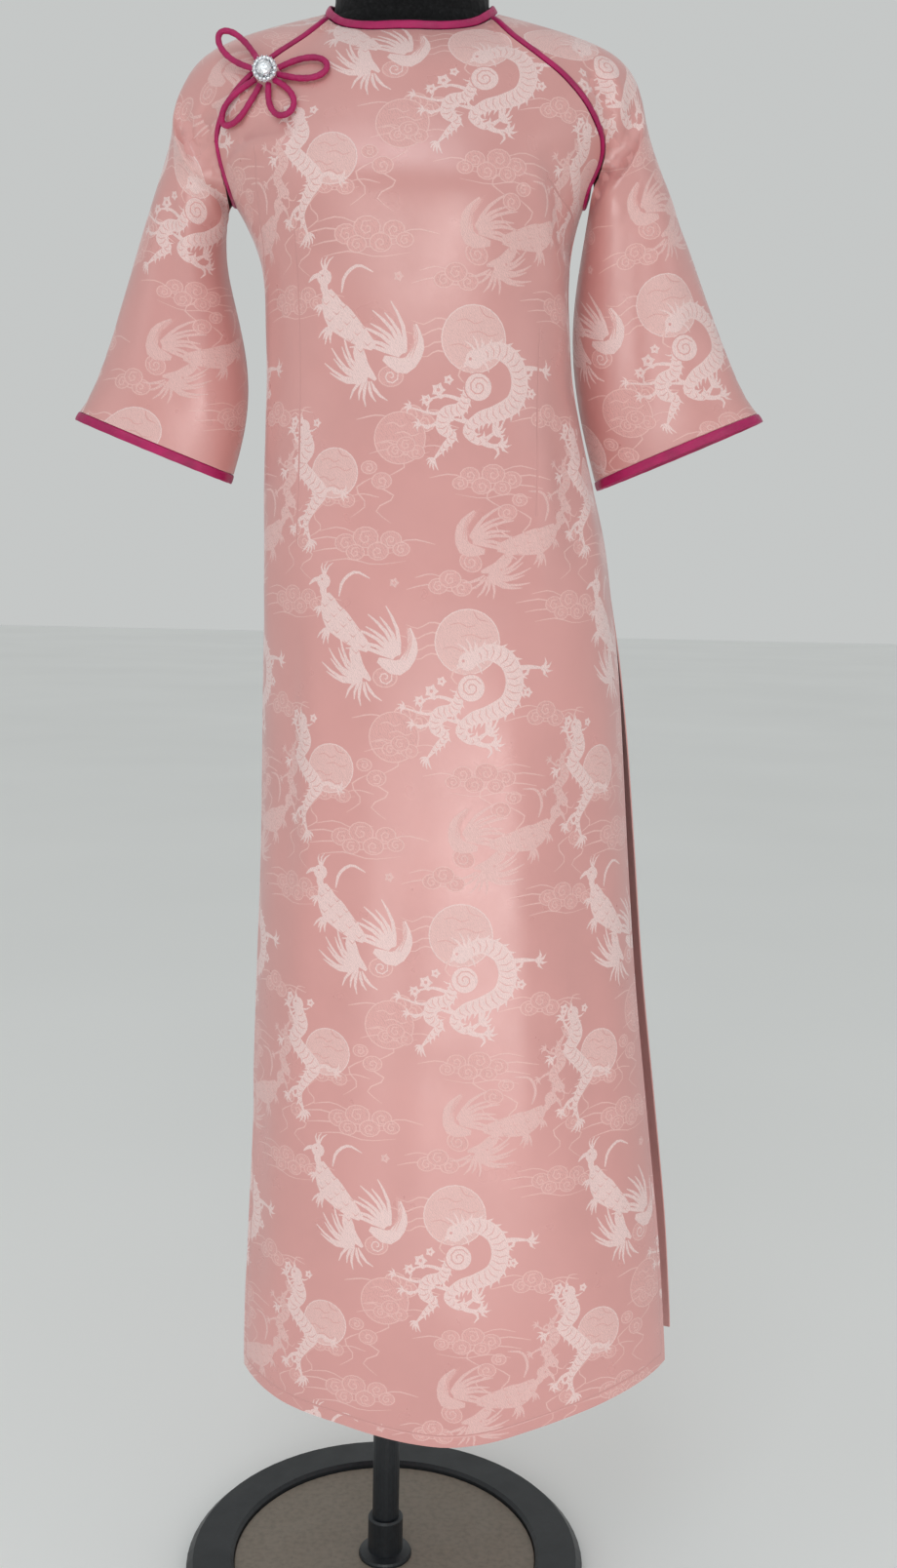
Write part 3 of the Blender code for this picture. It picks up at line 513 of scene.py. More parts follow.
def dragon(spine, girth, legs, weave=BRIGHT, fins=1):
    """A scaled body along its spine from neck to tail, with fins, legs, mane and head."""
    made = Drawing()
    steps = 5 * len(spine)
    line = curve(spine, steps)
    way = np.gradient(line, axis=0)
    way /= np.linalg.norm(way, axis=1)[:, None]
    side = np.stack((-way[:, 1], way[:, 0]), 1) * fins
    t = np.linspace(0, 1, steps)
    half = girth / 2 * np.minimum(1, np.minimum(0.62 + t * 2.2, (1.05 - t) * 1.9)) ** 0.8
    for n in range(2, steps - 3, 2):
        root = line[n] + side[n] * half[n] * 0.8
        made.face([root - way[n] * girth * 0.14, root + way[n] * girth * 0.12,
                   root + side[n] * girth * 0.34 + way[n] * girth * 0.26], weave)
    for at, angle, reach, bend in legs:
        n = int(at * (steps - 1))
        a = math.radians(angle)
        knee = line[n] + reach * 0.55 * np.array((math.cos(a), math.sin(a)))
        b = math.radians(angle + bend)
        foot = knee + reach * 0.50 * np.array((math.cos(b), math.sin(b)))
        made.stroke([line[n], knee, foot], girth * 0.42, weave, (0.1, 1.6), 7)
        claws(made, *foot, angle + bend, girth * 0.62, weave)
        made.stroke([knee, knee + (-side[n] + way[n]) * girth * 0.35, knee - side[n] * girth * 0.70],
                    girth * 0.20, weave, (0.1, 0.8), 4)
    made.strip(line + side * half[:, None], line - side * half[:, None], weave)
    for n in range(2, steps - 3, 2):
        out = side[n] * half[n] * 0.80
        bow = way[n] * girth * 0.11
        width = way[n] * 0.0006
        made.strip([line[n] + out, line[n] + bow, line[n] - out],
                   [line[n] + out * 0.9 + width, line[n] + bow + width * 1.5, line[n] - out * 0.9 + width], FAINT)
    head, ahead, across = line[0], -way[0] * girth, side[0] * girth
    made.disc(*(head + ahead * 0.25), girth * 0.50, weave, 12)
    made.stroke([head, head + ahead * 0.6, head + ahead * 1.15 - across * 0.1], girth * 0.52, weave, (0.1, 1.8), 6)
    for turn, reach in ((0.45, 1.0), (0.85, 1.15), (1.25, 1.2), (1.7, 1.1), (-0.6, 0.9), (-1.2, 1.0)):
        out = (across * math.sin(turn) - ahead * math.cos(turn)) * reach
        made.stroke([head, head + out * 0.6, head + out + ahead * 0.2], girth * 0.17, weave, (0.1, 0.9), 4)
    for hand in (-1, 1):
        made.stroke([head + ahead * 0.9, head + ahead * 1.4 + across * hand * 0.4,
                     head + ahead * 1.2 + across * hand], girth * 0.10, OUTLINE, (0.1, 0.8), 5)
    made.disc(*(head + ahead * 0.45 + across * 0.12), girth * 0.09, GROUND, 6)
    tail, across = line[-1], side[-1] * girth
    for turn in (-0.9, -0.45, 0.0, 0.45, 0.9):
        out = way[-1] * girth * math.cos(turn) + across * math.sin(turn)
        made.stroke([tail, tail + out * 0.5, tail + out * 0.8 + across * 0.2], girth * 0.20, weave, (0.1, 0.8), 4)
    return made


def sun(radius, weave=MEDIUM):
    """A sun disc crossed by thin cloud lines."""
    made = Drawing()
    made.disc(0, 0, radius, OUTLINE if weave == FAINT else BRIGHT, 24)
    made.disc(0, 0, radius - 0.0009, weave, 24)
    for level, start, end in ((0.50, -0.55, 0.25), (0.16, -0.2, 0.75),
                              (-0.22, -0.75, 0.1), (-0.55, -0.3, 0.5)):
        y = radius * level
        made.stroke([(radius * start, y), (radius * (start * 0.6 + end * 0.4), y + 0.0016),
                     (radius * (start * 0.3 + end * 0.7), y - 0.0016), (radius * end, y + 0.0006)],
                    0.0009, FAINT if weave > FAINT else OUTLINE, (0.2, 0.2), 7)
    made.stroke([(radius * 0.15, radius * 0.95), (radius * 0.30, radius * 0.70), (radius * 0.62, radius * 0.62)],
                0.0008, GROUND, (0.2, 0.2), 6)
    return made


def phoenix(weave=BRIGHT):
    """A bird with a plumed head, a fanned wing and a spread tail, about 0.09 high."""
    made = Drawing()
    made.fan(0.019, -0.047, (150, 160, 169, 178, 187, 196), 0.004, 0.042, 0.0030, weave, -0.45, 5)
    made.fan(0.017, -0.044, (205, 222, 240, 262, 285), 0.004, 0.024, 0.0028, weave, 0.4, 4)
    made.disc(0.034, -0.044, 0.0105, OUTLINE, 14, 0.8)
    made.disc(0.034, -0.044, 0.0095, FAINT, 14, 0.8)
    made.spiral(0.034, -0.044, 0.0065, 1.4, 0.0011, weave, 0.5, -1, 11)
    made.stroke([(0.006, -0.020), (0.012, -0.036), (0.022, -0.047)], 0.013, weave, (0.4, 1.2), 7)
    made.fan(0.046, -0.032, (88, 98, 108, 118, 128, 139, 150), 0.006, 0.047, 0.0034, weave, 0.30, 5)
    made.stroke([(0.028, -0.030), (0.045, -0.036), (0.056, -0.022), (0.053, -0.004)], 0.014, weave, (0.4, 0.9), 10)
    for reach in (0.35, 0.5, 0.65, 0.8):
        made.stroke([(0.036 + 0.018 * reach, -0.030), (0.049 + 0.008 * reach, -0.022 + 0.012 * reach),
                     (0.050, -0.010 + 0.014 * reach)], 0.0007, FAINT, (0.2, 0.3), 6)
    made.stroke([(-0.018, 0.022), (-0.012, 0.006), (0.002, -0.008), (0.020, -0.022)], 0.026, weave, (0.55, 0.8), 12)
    made.stroke([(-0.020, 0.034), (-0.020, 0.022), (-0.012, 0.012)], 0.011, weave, (0.8, 2.0), 6)
    made.disc(-0.020, 0.032, 0.0062, weave, 11)
    made.stroke([(-0.022, 0.034), (-0.029, 0.033), (-0.034, 0.029)], 0.0042, weave, (0.1, 0.9), 5)
    made.stroke([(-0.006, 0.020), (-0.003, 0.032), (0.008, 0.040), (0.020, 0.035)], 0.0026, weave, (0.3, 0.5), 9)
    for turn in (70, 92, 114):
        a = math.radians(turn)
        made.stroke([(-0.019, 0.036), (-0.019 + 0.008 * math.cos(a), 0.036 + 0.008 * math.sin(a)),
                     (-0.016 + 0.013 * math.cos(a), 0.035 + 0.013 * math.sin(a))], 0.0018, weave, (0.1, 0.8), 4)
    for n in range(5):
        t = n / 4
        x, y = -0.019 + 0.034 * t, 0.014 - 0.032 * t
        for hand in (-1, 0, 1):
            px, py = x + 0.0058 * hand, y + 0.0050 * hand
            made.strip([(px - 0.0034, py + 0.0008), (px + 0.0002, py - 0.0020), (px + 0.0036, py + 0.0006)],
                       [(px - 0.0030, py + 0.0002), (px + 0.0002, py - 0.0030), (px + 0.0032, py)], FAINT)
    made.fan(-0.012, -0.004, (196, 209, 222, 236), 0.003, 0.017, 0.0024, weave, 0.35, 4)
    made.fan(-0.020, 0.012, (186, 203, 222), 0.002, 0.011, 0.0020, weave, 0.3, 4)
    made.disc(-0.0215, 0.0335, 0.0009, GROUND, 6)
    return made


def repeat_figures():
    """Everything in one repeat, about the large sun's middle."""
    made = Drawing()
    drift = [([(-0.058, 0.004), (-0.034, 0.0075), (-0.012, 0.002), (0.012, 0.006)], 0.0011),
             ([(-0.050, -0.004), (-0.030, -0.001), (-0.010, -0.006), (0.022, -0.003)], 0.0011),
             ([(0.048, 0.003), (0.030, 0.0065), (0.010, 0.001), (-0.004, 0.003)], 0.0010),
             ([(-0.044, 0.012), (-0.028, 0.0150), (-0.010, 0.010), (0.004, 0.013)], 0.0009),
             ([(-0.040, -0.012), (-0.020, -0.009), (0.000, -0.013), (0.026, -0.010)], 0.0009)]
    bank = cloud([(-0.022, 0.003, 0.0092, 1), (0.014, 0.006, 0.0085, -1), (-0.006, 0.0075, 0.0105, 1),
                  (0.004, -0.003, 0.0088, -1), (-0.014, -0.004, 0.0078, 1), (0.022, -0.001, 0.0070, 1)], drift)
    puff = cloud([(-0.010, 0.000, 0.0078, 1), (0.008, -0.001, 0.0082, -1), (-0.001, 0.0055, 0.0088, 1)],
                 [([(-0.034, -0.003), (-0.018, 0.001), (0.000, -0.004), (0.020, -0.001)], 0.0010),
                  ([(0.038, 0.002), (0.022, 0.005), (0.006, 0.001)], 0.0010),
                  ([(-0.028, 0.006), (-0.016, 0.009), (-0.004, 0.006)], 0.0009)])
    plume = cloud([(0.000, 0.000, 0.0082, -1), (0.010, 0.010, 0.0066, 1)],
                  [([(0.004, -0.004), (-0.010, -0.012), (0.004, -0.022), (-0.008, -0.032)], 0.0012),
                   ([(0.008, 0.002), (0.020, -0.006), (0.012, -0.018), (0.024, -0.028)], 0.0012),
                   ([(-0.006, 0.004), (-0.018, 0.012), (-0.010, 0.022), (-0.020, 0.032)], 0.0011)])
    for drawing, x, y, scale, flip in (
            (bank, -0.078, 0.074, 1.05, 1), (bank, 0.012, -0.112, 0.95, -1), (bank, 0.092, 0.028, 0.92, 1),
            (puff, -0.014, 0.044, 1.05, 1), (puff, -0.050, -0.066, 1.15, -1), (puff, 0.068, -0.060, 1.05, 1),
            (plume, 0.030, 0.104, 1.0, 1), (plume, -0.072, -0.112, 1.05, -1), (plume, 0.100, 0.078, 0.95, -1),
            (puff, -0.108, 0.112, 0.9, 1)):
        made.placed(drawing, x, y, scale, flip)
    made.placed(sun(0.021, FAINT), -0.058, -0.078)
    made.placed(puff, -0.052, -0.088, 0.9, 1)
    for y, reach in ((0.012, 0.050), (0.004, 0.058), (-0.006, 0.052), (-0.013, 0.044)):
        made.stroke([(-0.016, y), (-0.030, y + 0.003), (-0.040, y - 0.002), (-reach, y + 0.001)], 0.0012, OUTLINE,
                    (0.2, 0.7), 8)
    made.placed(sun(0.0265), 0, 0)
    made.placed(dragon([(0.004, -0.014), (0.018, -0.008), (0.033, -0.015), (0.039, -0.031), (0.034, -0.048),
                        (0.019, -0.057), (0.005, -0.062), (-0.004, -0.072), (0.006, -0.080), (0.017, -0.073)],
                       0.0150, [(0.30, 8, 0.026, -12), (0.66, 200, 0.030, -30), (0.93, -20, 0.016, 30)]),
                0, 0)
    made.placed(dragon([(-0.004, -0.040), (-0.010, -0.054), (-0.022, -0.058), (-0.024, -0.070), (-0.016, -0.076),
                        (-0.022, -0.084), (-0.030, -0.094)],
                       0.0100, [(0.12, 165, 0.030, 30), (0.25, 190, 0.038, -25), (0.45, 215, 0.020, -40)]),
                0, 0)
    made.disc(0.004, -0.037, 0.0118, GROUND, 18)
    made.disc(0.004, -0.037, 0.0108, BRIGHT, 18)
    made.spiral(0.004, -0.037, 0.0085, 1.6, 0.0011, FAINT, 0.4, 1, 14)
    made.placed(phoenix(), -0.100, 0.014)
    made.placed(phoenix(MEDIUM), 0.048, 0.084, 0.92, -1, 0.5, MEDIUM)
    made.placed(sun(0.0205), 0.128, -0.106)
    made.placed(dragon([(0.100, -0.072), (0.104, -0.086), (0.096, -0.098), (0.106, -0.110), (0.116, -0.122),
                        (0.108, -0.134), (0.102, -0.146), (0.106, -0.160)],
                       0.0125, [(0.16, 150, 0.022, -30), (0.34, 170, 0.020, 40), (0.60, 20, 0.020, -40),
                                (0.80, 200, 0.018, 30)], BRIGHT, -1), 0, 0)
    made.placed(dragon([(0.086, -0.128), (0.080, -0.118), (0.088, -0.108), (0.084, -0.096), (0.090, -0.086)],
                       0.0085, [(0.3, 190, 0.014, 20), (0.7, 175, 0.014, -30)], MEDIUM), 0, 0)
    for x, y, size, weave in ((-0.028, -0.040, 0.0042, BRIGHT), (-0.037, -0.048, 0.0034, BRIGHT),
                              (-0.020, -0.032, 0.0030, BRIGHT), (0.050, -0.040, 0.0032, BRIGHT),
                              (0.090, -0.064, 0.0034, BRIGHT), (0.112, -0.066, 0.0028, BRIGHT),
                              (-0.060, 0.046, 0.0030, MEDIUM), (0.026, 0.058, 0.0028, MEDIUM)):
        angles = np.linspace(0, 2 * math.pi, 16)[:-1]
        reach = size * (1.15 + 0.30 * np.cos(angles * 5))
        made.face(np.stack((x + reach * np.cos(angles), y + reach * np.sin(angles)), 1), weave)
        made.disc(x, y, size * 0.40, FAINT, 5)
    return made


# ---- materials -----------------------------------------------------------------------
def rgb(red, green, blue):
    """Screen colour, 0 to 255, as linear values."""
    return tuple(((c / 255 + 0.055) / 1.055) ** 2.4 if c > 10 else c / 255 / 12.92 for c in (red, green, blue))


class Nodes:
    """A material's nodes, made one by one and joined by name."""

    def __init__(self, name):
        self.material = bpy.data.materials.new(name)
        self.material.use_nodes = True
        self.tree = self.material.node_tree
        self.shader = self.tree.nodes["Principled BSDF"]
        self.place = self.tree.nodes.new("ShaderNodeTexCoord").outputs["Object"]

    def set(self, **values):
        for name, value in values.items():
            socket = self.shader.inputs[name.replace("_", " ")]
            socket.default_value = (*value, 1) if isinstance(value, tuple) else value
        return self

    def node(self, kind, links=(), **values):
        made = self.tree.nodes.new("ShaderNode" + kind)
        for name, value in values.items():
            if hasattr(made, name):
                setattr(made, name, value)
            else:
                made.inputs[name.replace("_", " ")].default_value = value
        for socket, source in dict(links).items():
            self.tree.links.new(source, made.inputs[socket])
        return made

    def stretched(self, scale, turn=(0, 0, 0)):
        made = self.node("Mapping", {"Vector": self.place})
        made.inputs["Scale"].default_value = scale
        made.inputs["Rotation"].default_value = turn
        return made.outputs["Vector"]

    def noise(self, scale, detail=3.0, vector=None, roughness=0.55):
        made = self.node("TexNoise", {"Vector": vector or self.place}, Scale=scale, Detail=detail,
                         Roughness=roughness)
        return made.outputs["Fac"]

    def bands(self, scale, direction, distortion=0.0, vector=None):
        made = self.node("TexWave", {"Vector": vector or self.place}, bands_direction=direction, Scale=scale,
                         Distortion=distortion)
        return made.outputs["Fac"]

    def ramp(self, source, stops):
        made = self.node("ValToRGB", {"Fac": source})
        made.color_ramp.elements[0].position, made.color_ramp.elements[1].position = stops[0][0], stops[-1][0]
        for position, _ in stops[1:-1]:
            made.color_ramp.elements.new(position)
        for element, (_, colour) in zip(made.color_ramp.elements, stops):
            element.color = (*colour, 1) if isinstance(colour, tuple) else (colour, colour, colour, 1)
        return made.outputs["Color"]

    def bump(self, source, distance, strength=1.0, under=None):
        links = {"Height": source}
        if under:
            links["Normal"] = under
        return self.node("Bump", links, Distance=distance, Strength=strength).outputs["Normal"]

    def join(self, source, socket):
        self.tree.links.new(source, self.shader.inputs[socket])
        return self


def shade(colour, factor):
    """A colour made darker or lighter."""
    return tuple(min(c * factor, 1.0) for c in colour)


def satin(name, colour, roughness, low, high, thread, weave_depth, sheen=0.25):
    """A satin weave: slow colour drift, fine threads across, and thread-scale relief."""
    made = Nodes(name)
    drift = made.noise(7, 4)
    threads = made.bands(thread, "Z", 1.2)
    made.join(made.ramp(drift, [(0.30, shade(colour, low)), (0.50, colour), (0.72, shade(colour, high))]),
              "Base Color")
    rough = made.ramp(made.noise(26, 3), [(0.3, roughness - 0.05), (0.7, roughness + 0.07)])
    made.join(rough, "Roughness")
    pucker = made.bump(made.noise(95, 4), 0.00022, 0.30)
    made.join(made.bump(threads, weave_depth, 0.35, pucker), "Normal")
    made.set(Sheen_Weight=sheen, Sheen_Roughness=0.45, Sheen_Tint=(1.0, 0.90, 0.90), Specular_IOR_Level=0.9,
             IOR=1.6, Anisotropic=0.6)
    return made


def figure(name, colour, roughness, dark, grain, depth):
    """A figure's weave: matte weft floats in short wavering rows, over slow drift."""
    made = Nodes(name)
    rows = made.node("TexWave", {"Vector": made.stretched((1, 1, 1), (0.35, 0.5, 0.2))}, Scale=grain,
                     Distortion=9.0, Detail=3.0)
    rows.inputs["Detail Scale"].default_value = 2.2
    flecks = made.noise(grain * 5, 2)
    both = made.node("Math", {0: rows.outputs["Fac"], 1: flecks}, operation="ADD").outputs[0]
    made.join(made.ramp(both, [(0.45, shade(colour, dark)), (0.95, colour), (1.40, shade(colour, 1.07))]),
              "Base Color")
    made.join(made.bump(both, depth, 0.45), "Normal")
    made.set(Roughness=roughness, Sheen_Weight=0.35, Sheen_Roughness=0.4, Sheen_Tint=(1.0, 0.96, 0.97),
             Specular_IOR_Level=0.7)
    return made.material


SATIN_PINK = rgb(211, 148, 143)
GROUND_SATIN = satin("satin_ground", SATIN_PINK, 0.31, 0.94, 1.05, 900, 0.00003).material
# The pressed lines' satin is a little darker than the ground: painted shade in the pressed crease. It is also
# rougher.
LINE_PAINTED_SHADE_SATIN = satin("satin_pressed_line_painted_shade", shade(SATIN_PINK, 0.97), 0.38, 0.94, 1.05, 900, 0.00003).material
FAINT_WEAVE = figure("figure_faint", rgb(215, 160, 155), 0.44, 0.92, 190, 0.00012)
OUTLINE_WEAVE = figure("figure_outline", rgb(224, 180, 174), 0.46, 0.94, 260, 0.00012)
MEDIUM_WEAVE = figure("figure_medium", rgb(222, 179, 174), 0.48, 0.90, 210, 0.00014)
BRIGHT_WEAVE = figure("figure_bright", rgb(230, 199, 195), 0.46, 0.86, 230, 0.00016)
REVERSE_SATIN = satin("satin_reverse", rgb(216, 152, 147), 0.55, 0.93, 1.06, 700, 0.00012, 0.35).material


def magenta_trim():
    """Bias-cut magenta satin: diagonal threads, small puckers, and colour a little darker and lighter in random
    patches.
    """
    made = Nodes("magenta_satin")
    base = rgb(172, 4, 88)
    # Random noise makes the colour a little darker and lighter in patches.
    made.join(made.ramp(made.noise(60, 4), [(0.30, shade(base, 0.78)), (0.55, base), (0.78, shade(base, 1.22))]),
              "Base Color")
    diagonal = made.node("TexWave", {"Vector": made.stretched((1, 1, 1), (0.0, 0.78, 0.0))}, Scale=520,
                         Distortion=1.5).outputs["Fac"]
    pucker = made.bump(made.noise(260, 4), 0.00055, 0.55)
    made.join(made.bump(diagonal, 0.00018, 0.5, pucker), "Normal")
    made.join(made.ramp(made.noise(140, 2), [(0.3, 0.34), (0.7, 0.50)]), "Roughness")
    made.set(Sheen_Weight=0.12, Sheen_Roughness=0.35, Sheen_Tint=(1.0, 0.35, 0.6), Specular_IOR_Level=0.5)
    return made.material


def silver():
    """Polished silver-coloured metal with faint wear."""
    made = Nodes("rhodium_setting")
    made.join(made.ramp(made.noise(900, 3), [(0.3, (0.60, 0.60, 0.62)), (0.7, (0.86, 0.86, 0.88))]), "Base Color")
    made.join(made.ramp(made.noise(1500, 2), [(0.3, 0.12), (0.7, 0.26)]), "Roughness")
    made.join(made.bump(made.noise(1300, 2), 0.0001, 0.4), "Normal")
    return made.set(Metallic=1.0).material


def crystal():
    """Clear cut crystal over a bright foil."""
    made = Nodes("cut_crystal")
    made.join(made.ramp(made.noise(700, 1), [(0.35, (0.78, 0.82, 0.86)), (0.65, (0.98, 0.98, 1.0))]), "Base Color")
    made.join(made.bump(made.noise(650, 1), 0.0004, 0.5), "Normal")
    return made.set(Roughness=0.04, Metallic=0.55, IOR=1.9, Specular_IOR_Level=0.9, Coat_Weight=1.0,
                    Coat_Roughness=0.02).material


def form_cover():
    """Matte black knit: fine ribs and a little lint."""
    made = Nodes("black_knit")
    made.join(made.ramp(made.noise(420, 5), [(0.35, (0.0035, 0.0035, 0.004)), (0.62, (0.010, 0.010, 0.011)),
                                             (0.86, (0.030, 0.030, 0.032))]), "Base Color")
    ribs = made.bands(430, "X", 0.6)
    made.join(made.bump(ribs, 0.00025, 0.5, made.bump(made.noise(60, 3), 0.0006, 0.25)), "Normal")
    return made.set(Roughness=0.92, Sheen_Weight=0.12, Sheen_Roughness=0.5, Specular_IOR_Level=0.25).material


def paint(name, colour, roughness, grain, specks):
    """Powder-coated metal with a fine orange-peel skin and faint scuffs."""
    made = Nodes(name)
    made.join(made.ramp(made.noise(grain, 6), [(0.30, shade(colour, 0.82)), (0.52, colour),
                                               (0.80, shade(colour, specks))]), "Base Color")
    made.join(made.ramp(made.noise(30, 5), [(0.35, roughness - 0.07), (0.75, roughness + 0.10)]), "Roughness")
    made.join(made.bump(made.noise(1100, 2), 0.00010, 0.45, made.bump(made.noise(18, 2), 0.0004, 0.2)), "Normal")
    return made.set(Specular_IOR_Level=0.5).material


TRIM = magenta_trim()
SILVER = silver()
CRYSTAL = crystal()
FORM_COVER = form_cover()
BLACK_PAINT = paint("black_powder_coat", rgb(26, 30, 34), 0.42, 240, 1.5)
TAUPE_PAINT = paint("taupe_powder_coat", rgb(128, 118, 106), 0.55, 180, 1.12)
# LINE: the weave of the pressed lines, whose satin is painted a little darker as shade in the crease.
LINE = 6
CLOTH_FINISHES = [GROUND_SATIN, FAINT_WEAVE, OUTLINE_WEAVE, MEDIUM_WEAVE, BRIGHT_WEAVE, REVERSE_SATIN, LINE_PAINTED_SHADE_SATIN]


# ---- cloth ---------------------------------------------------------------------------
THICKNESS = 0.0011
GRID = 0.0098               # spacing of the plain points between the figures
TILT = 0.26                 # how steeply the sides of a pressed line or dart lean
ROW_STEP = 0.0065           # between the rows of a piece's fine grid
PANEL_FINE = 81             # columns of a panel's fine grid
SLEEVE_FINE = 73
PANEL_EASE = 0.022          # folds fade out this near a panel's sewn edges
SLEEVE_EASE = 0.016
FORM_BOTTOM = (0.62, 0.72)  # heights between which the room behind the cloth runs out
HANGING_ROOM = 0.009        # how deep a trough may be below the form
PANEL_ROOM = 0.0022         # how deep it may be over the form
SLEEVE_ROOM = 0.012
SLEEVE_SMOOTHINGS = 20      # passes that even out the rows below the shoulder


def refined(block, spacing):
    """More rows through the same smooth curves, about spacing apart."""
    count = len(block)
    at = smooth(np.arange(count), block.reshape(count, -1))
    stops = [0.0]
    for n in range(count - 1):
        gap = np.linalg.norm(block[n + 1] - block[n], axis=-1).max()
        parts = max(1, math.ceil(gap / spacing))
        stops.extend(n + np.arange(1, parts + 1) / parts)
    return at(np.array(stops)).reshape(len(stops), *block.shape[1:])


def fine_grid(blocks, columns):
    """The fine grid through blocks of rows that share their meeting row."""
    rows = [refined(np.array(block, dtype=float), ROW_STEP) for block in blocks]
    grid = np.concatenate([rows[0]] + [block[1:] for block in rows[1:]])
    across = smooth(np.arange(grid.shape[1]), grid.transpose(1, 0, 2).reshape(grid.shape[1], -1))
    wide = across(np.linspace(0, grid.shape[1] - 1, columns))
    return wide.reshape(columns, len(grid), 3).transpose(1, 0, 2)


def unit(vectors):
    """The same directions with length 1."""
    return vectors / (np.linalg.norm(vectors, axis=-1, keepdims=True) + 1e-12)


def to_line(x, z, points):
    """Distance from each place to a line through points, and the share along it."""
    points = np.array(points, dtype=float)
    best = np.full(x.shape, 1e9)
    share = np.zeros(x.shape)
    length = np.linalg.norm(np.diff(points, axis=0), axis=1)
    for n in range(len(points) - 1):
        a, d = points[n], points[n + 1] - points[n]
        t = np.clip(((x - a[0]) * d[0] + (z - a[1]) * d[1]) / (d @ d), 0, 1)
        away = np.hypot(x - a[0] - t * d[0], z - a[1] - t * d[1])
        nearer = away < best
        best = np.where(nearer, away, best)
        share = np.where(nearer, (length[:n].sum() + t * length[n]) / length.sum(), share)
    return best, share


class Cloth:
    """A cut piece: its flat layout, and where each flat place lies on the garment."""

    def __init__(self, grid, flat, normals, room):
        self.grid, self.flat, self.normals, self.room = grid, flat, normals, room
        self.moved = 0

    def fold(self, creases, facing):
        """Presses soft troughs (depth above 0) and ridges into the side that faces so."""
        x, z = self.grid[..., 0], self.grid[..., 2]
        side = np.clip(self.normals[..., 1] * facing * 3 + 0.6, 0, 1)
        moved = np.zeros(x.shape)
        for points, width, depth in creases:
            away, share = to_line(x, z, points)
            fade = np.clip(np.minimum(share, 1 - share) * 5, 0, 1)
            moved -= depth * np.exp(-(away / width) ** 2) * fade * fade * (3 - 2 * fade) * side
        deepest = np.interp(z, FORM_BOTTOM, (HANGING_ROOM, self.room))
        moved = np.where(moved < 0, -deepest * np.tanh(-moved / deepest), moved)
        self.moved = self.moved + moved

    def settle(self, held):
        """Moves the folds in, held back near the seams, and makes the surface's directions."""
        self.grid = self.grid + self.normals * (self.moved * held)[..., None]
        along = unit(np.gradient(self.grid, axis=0))
        across = unit(np.gradient(self.grid, axis=1))
        normal = unit(np.cross(across, along))
        normal *= np.sign((normal * self.normals).sum(-1, keepdims=True))
        self.normals = normal
        self.up = unit(along * np.sign(np.gradient(self.flat[..., 1], axis=0))[..., None])
        rows, columns = self.grid.shape[:2]
        index = np.arange(rows * columns).reshape(rows, columns)
        a, b, c, d = index[:-1, :-1], index[:-1, 1:], index[1:, 1:], index[1:, :-1]
        self.tris = np.concatenate((np.stack((a, b, c), -1).reshape(-1, 3), np.stack((a, c, d), -1).reshape(-1, 3)))
        self.corners = self.flat.reshape(-1, 2)
        self.values = np.concatenate((self.grid, self.normals, self.up), -1).reshape(-1, 9)
        spots = [(u, v, 0.0) for u, v in self.corners]
        self.tree = BVHTree.FromPolygons(spots, self.tris.tolist())

    def outline(self):
        f = self.flat
        loop = np.concatenate((f[0, :-1], f[:-1, -1], f[-1, :0:-1], f[:0:-1, 0]))
        area = (loop[:, 0] * np.roll(loop[:, 1], -1) - np.roll(loop[:, 0], -1) * loop[:, 1]).sum()
        return loop if area > 0 else loop[::-1]

    def place(self, places):
        """Position, outward normal and up direction for flat places."""
        places = np.array(places, dtype=float)
        found = [self.tree.find_nearest((u, v, 0.0))[2] for u, v in places]
        tri = self.tris[found]
        a, b, c = (self.corners[tri[:, n]] for n in range(3))
        ab, ac, ap = b - a, c - a, places - a
        det = ab[:, 0] * ac[:, 1] - ab[:, 1] * ac[:, 0]
        s = (ap[:, 0] * ac[:, 1] - ap[:, 1] * ac[:, 0]) / det
        t = (ab[:, 0] * ap[:, 1] - ab[:, 1] * ap[:, 0]) / det
        s, t = np.clip(s, -0.2, 1.2), np.clip(t, -0.2, 1.2)
        share = np.stack((1 - s - t, s, t), 1)
        value = (self.values[tri] * share[..., None]).sum(1)
        return value[:, :3], unit(value[:, 3:6]), unit(value[:, 6:9])


def triangles(loop, drawing, spacing):
    """Flat triangles inside a loop, cut along a drawing's shapes, with the shape on top of each."""
    spots = [tuple(p) for p in loop]
    faces = [list(range(len(loop)))]
    shapes = [None]
    low, high = loop.min(0), loop.max(0)
    if drawing:
        start = len(spots)
        spots += drawing.points
        inside = (np.array(drawing.points) > low - 0.01).all(1) & (np.array(drawing.points) < high + 0.01).all(1)
        for face, weave, tilt in zip(drawing.faces, drawing.weaves, drawing.tilts):
            if inside[face].any():
                faces.append([start + n for n in face])
                shapes.append((weave, tilt))
        used = np.unique([n for face in faces for n in face])
        renumbered = np.full(len(spots), -1)
        renumbered[used] = np.arange(len(used))
        faces = [renumbered[face].tolist() for face in faces]
        spots = [spots[n] for n in used]
    across = np.arange(low[0] + spacing / 2, high[0], spacing)
    for row, v in enumerate(np.arange(low[1] + spacing / 2, high[1], spacing * 0.87)):
        spots.extend((u + (row % 2) * spacing / 2, v) for u in across)
    made = delaunay_2d_cdt([Vector(p) for p in spots], [], faces, 0, 1e-6, True)
    places = np.array([tuple(p) for p in made[0]])
    kept, tops = [], []
    for face, sources in zip(made[2], made[5]):
        if 0 in sources:
            kept.append(face)
            tops.append(max(sources))
    return places, kept, tops, shapes, made[3]


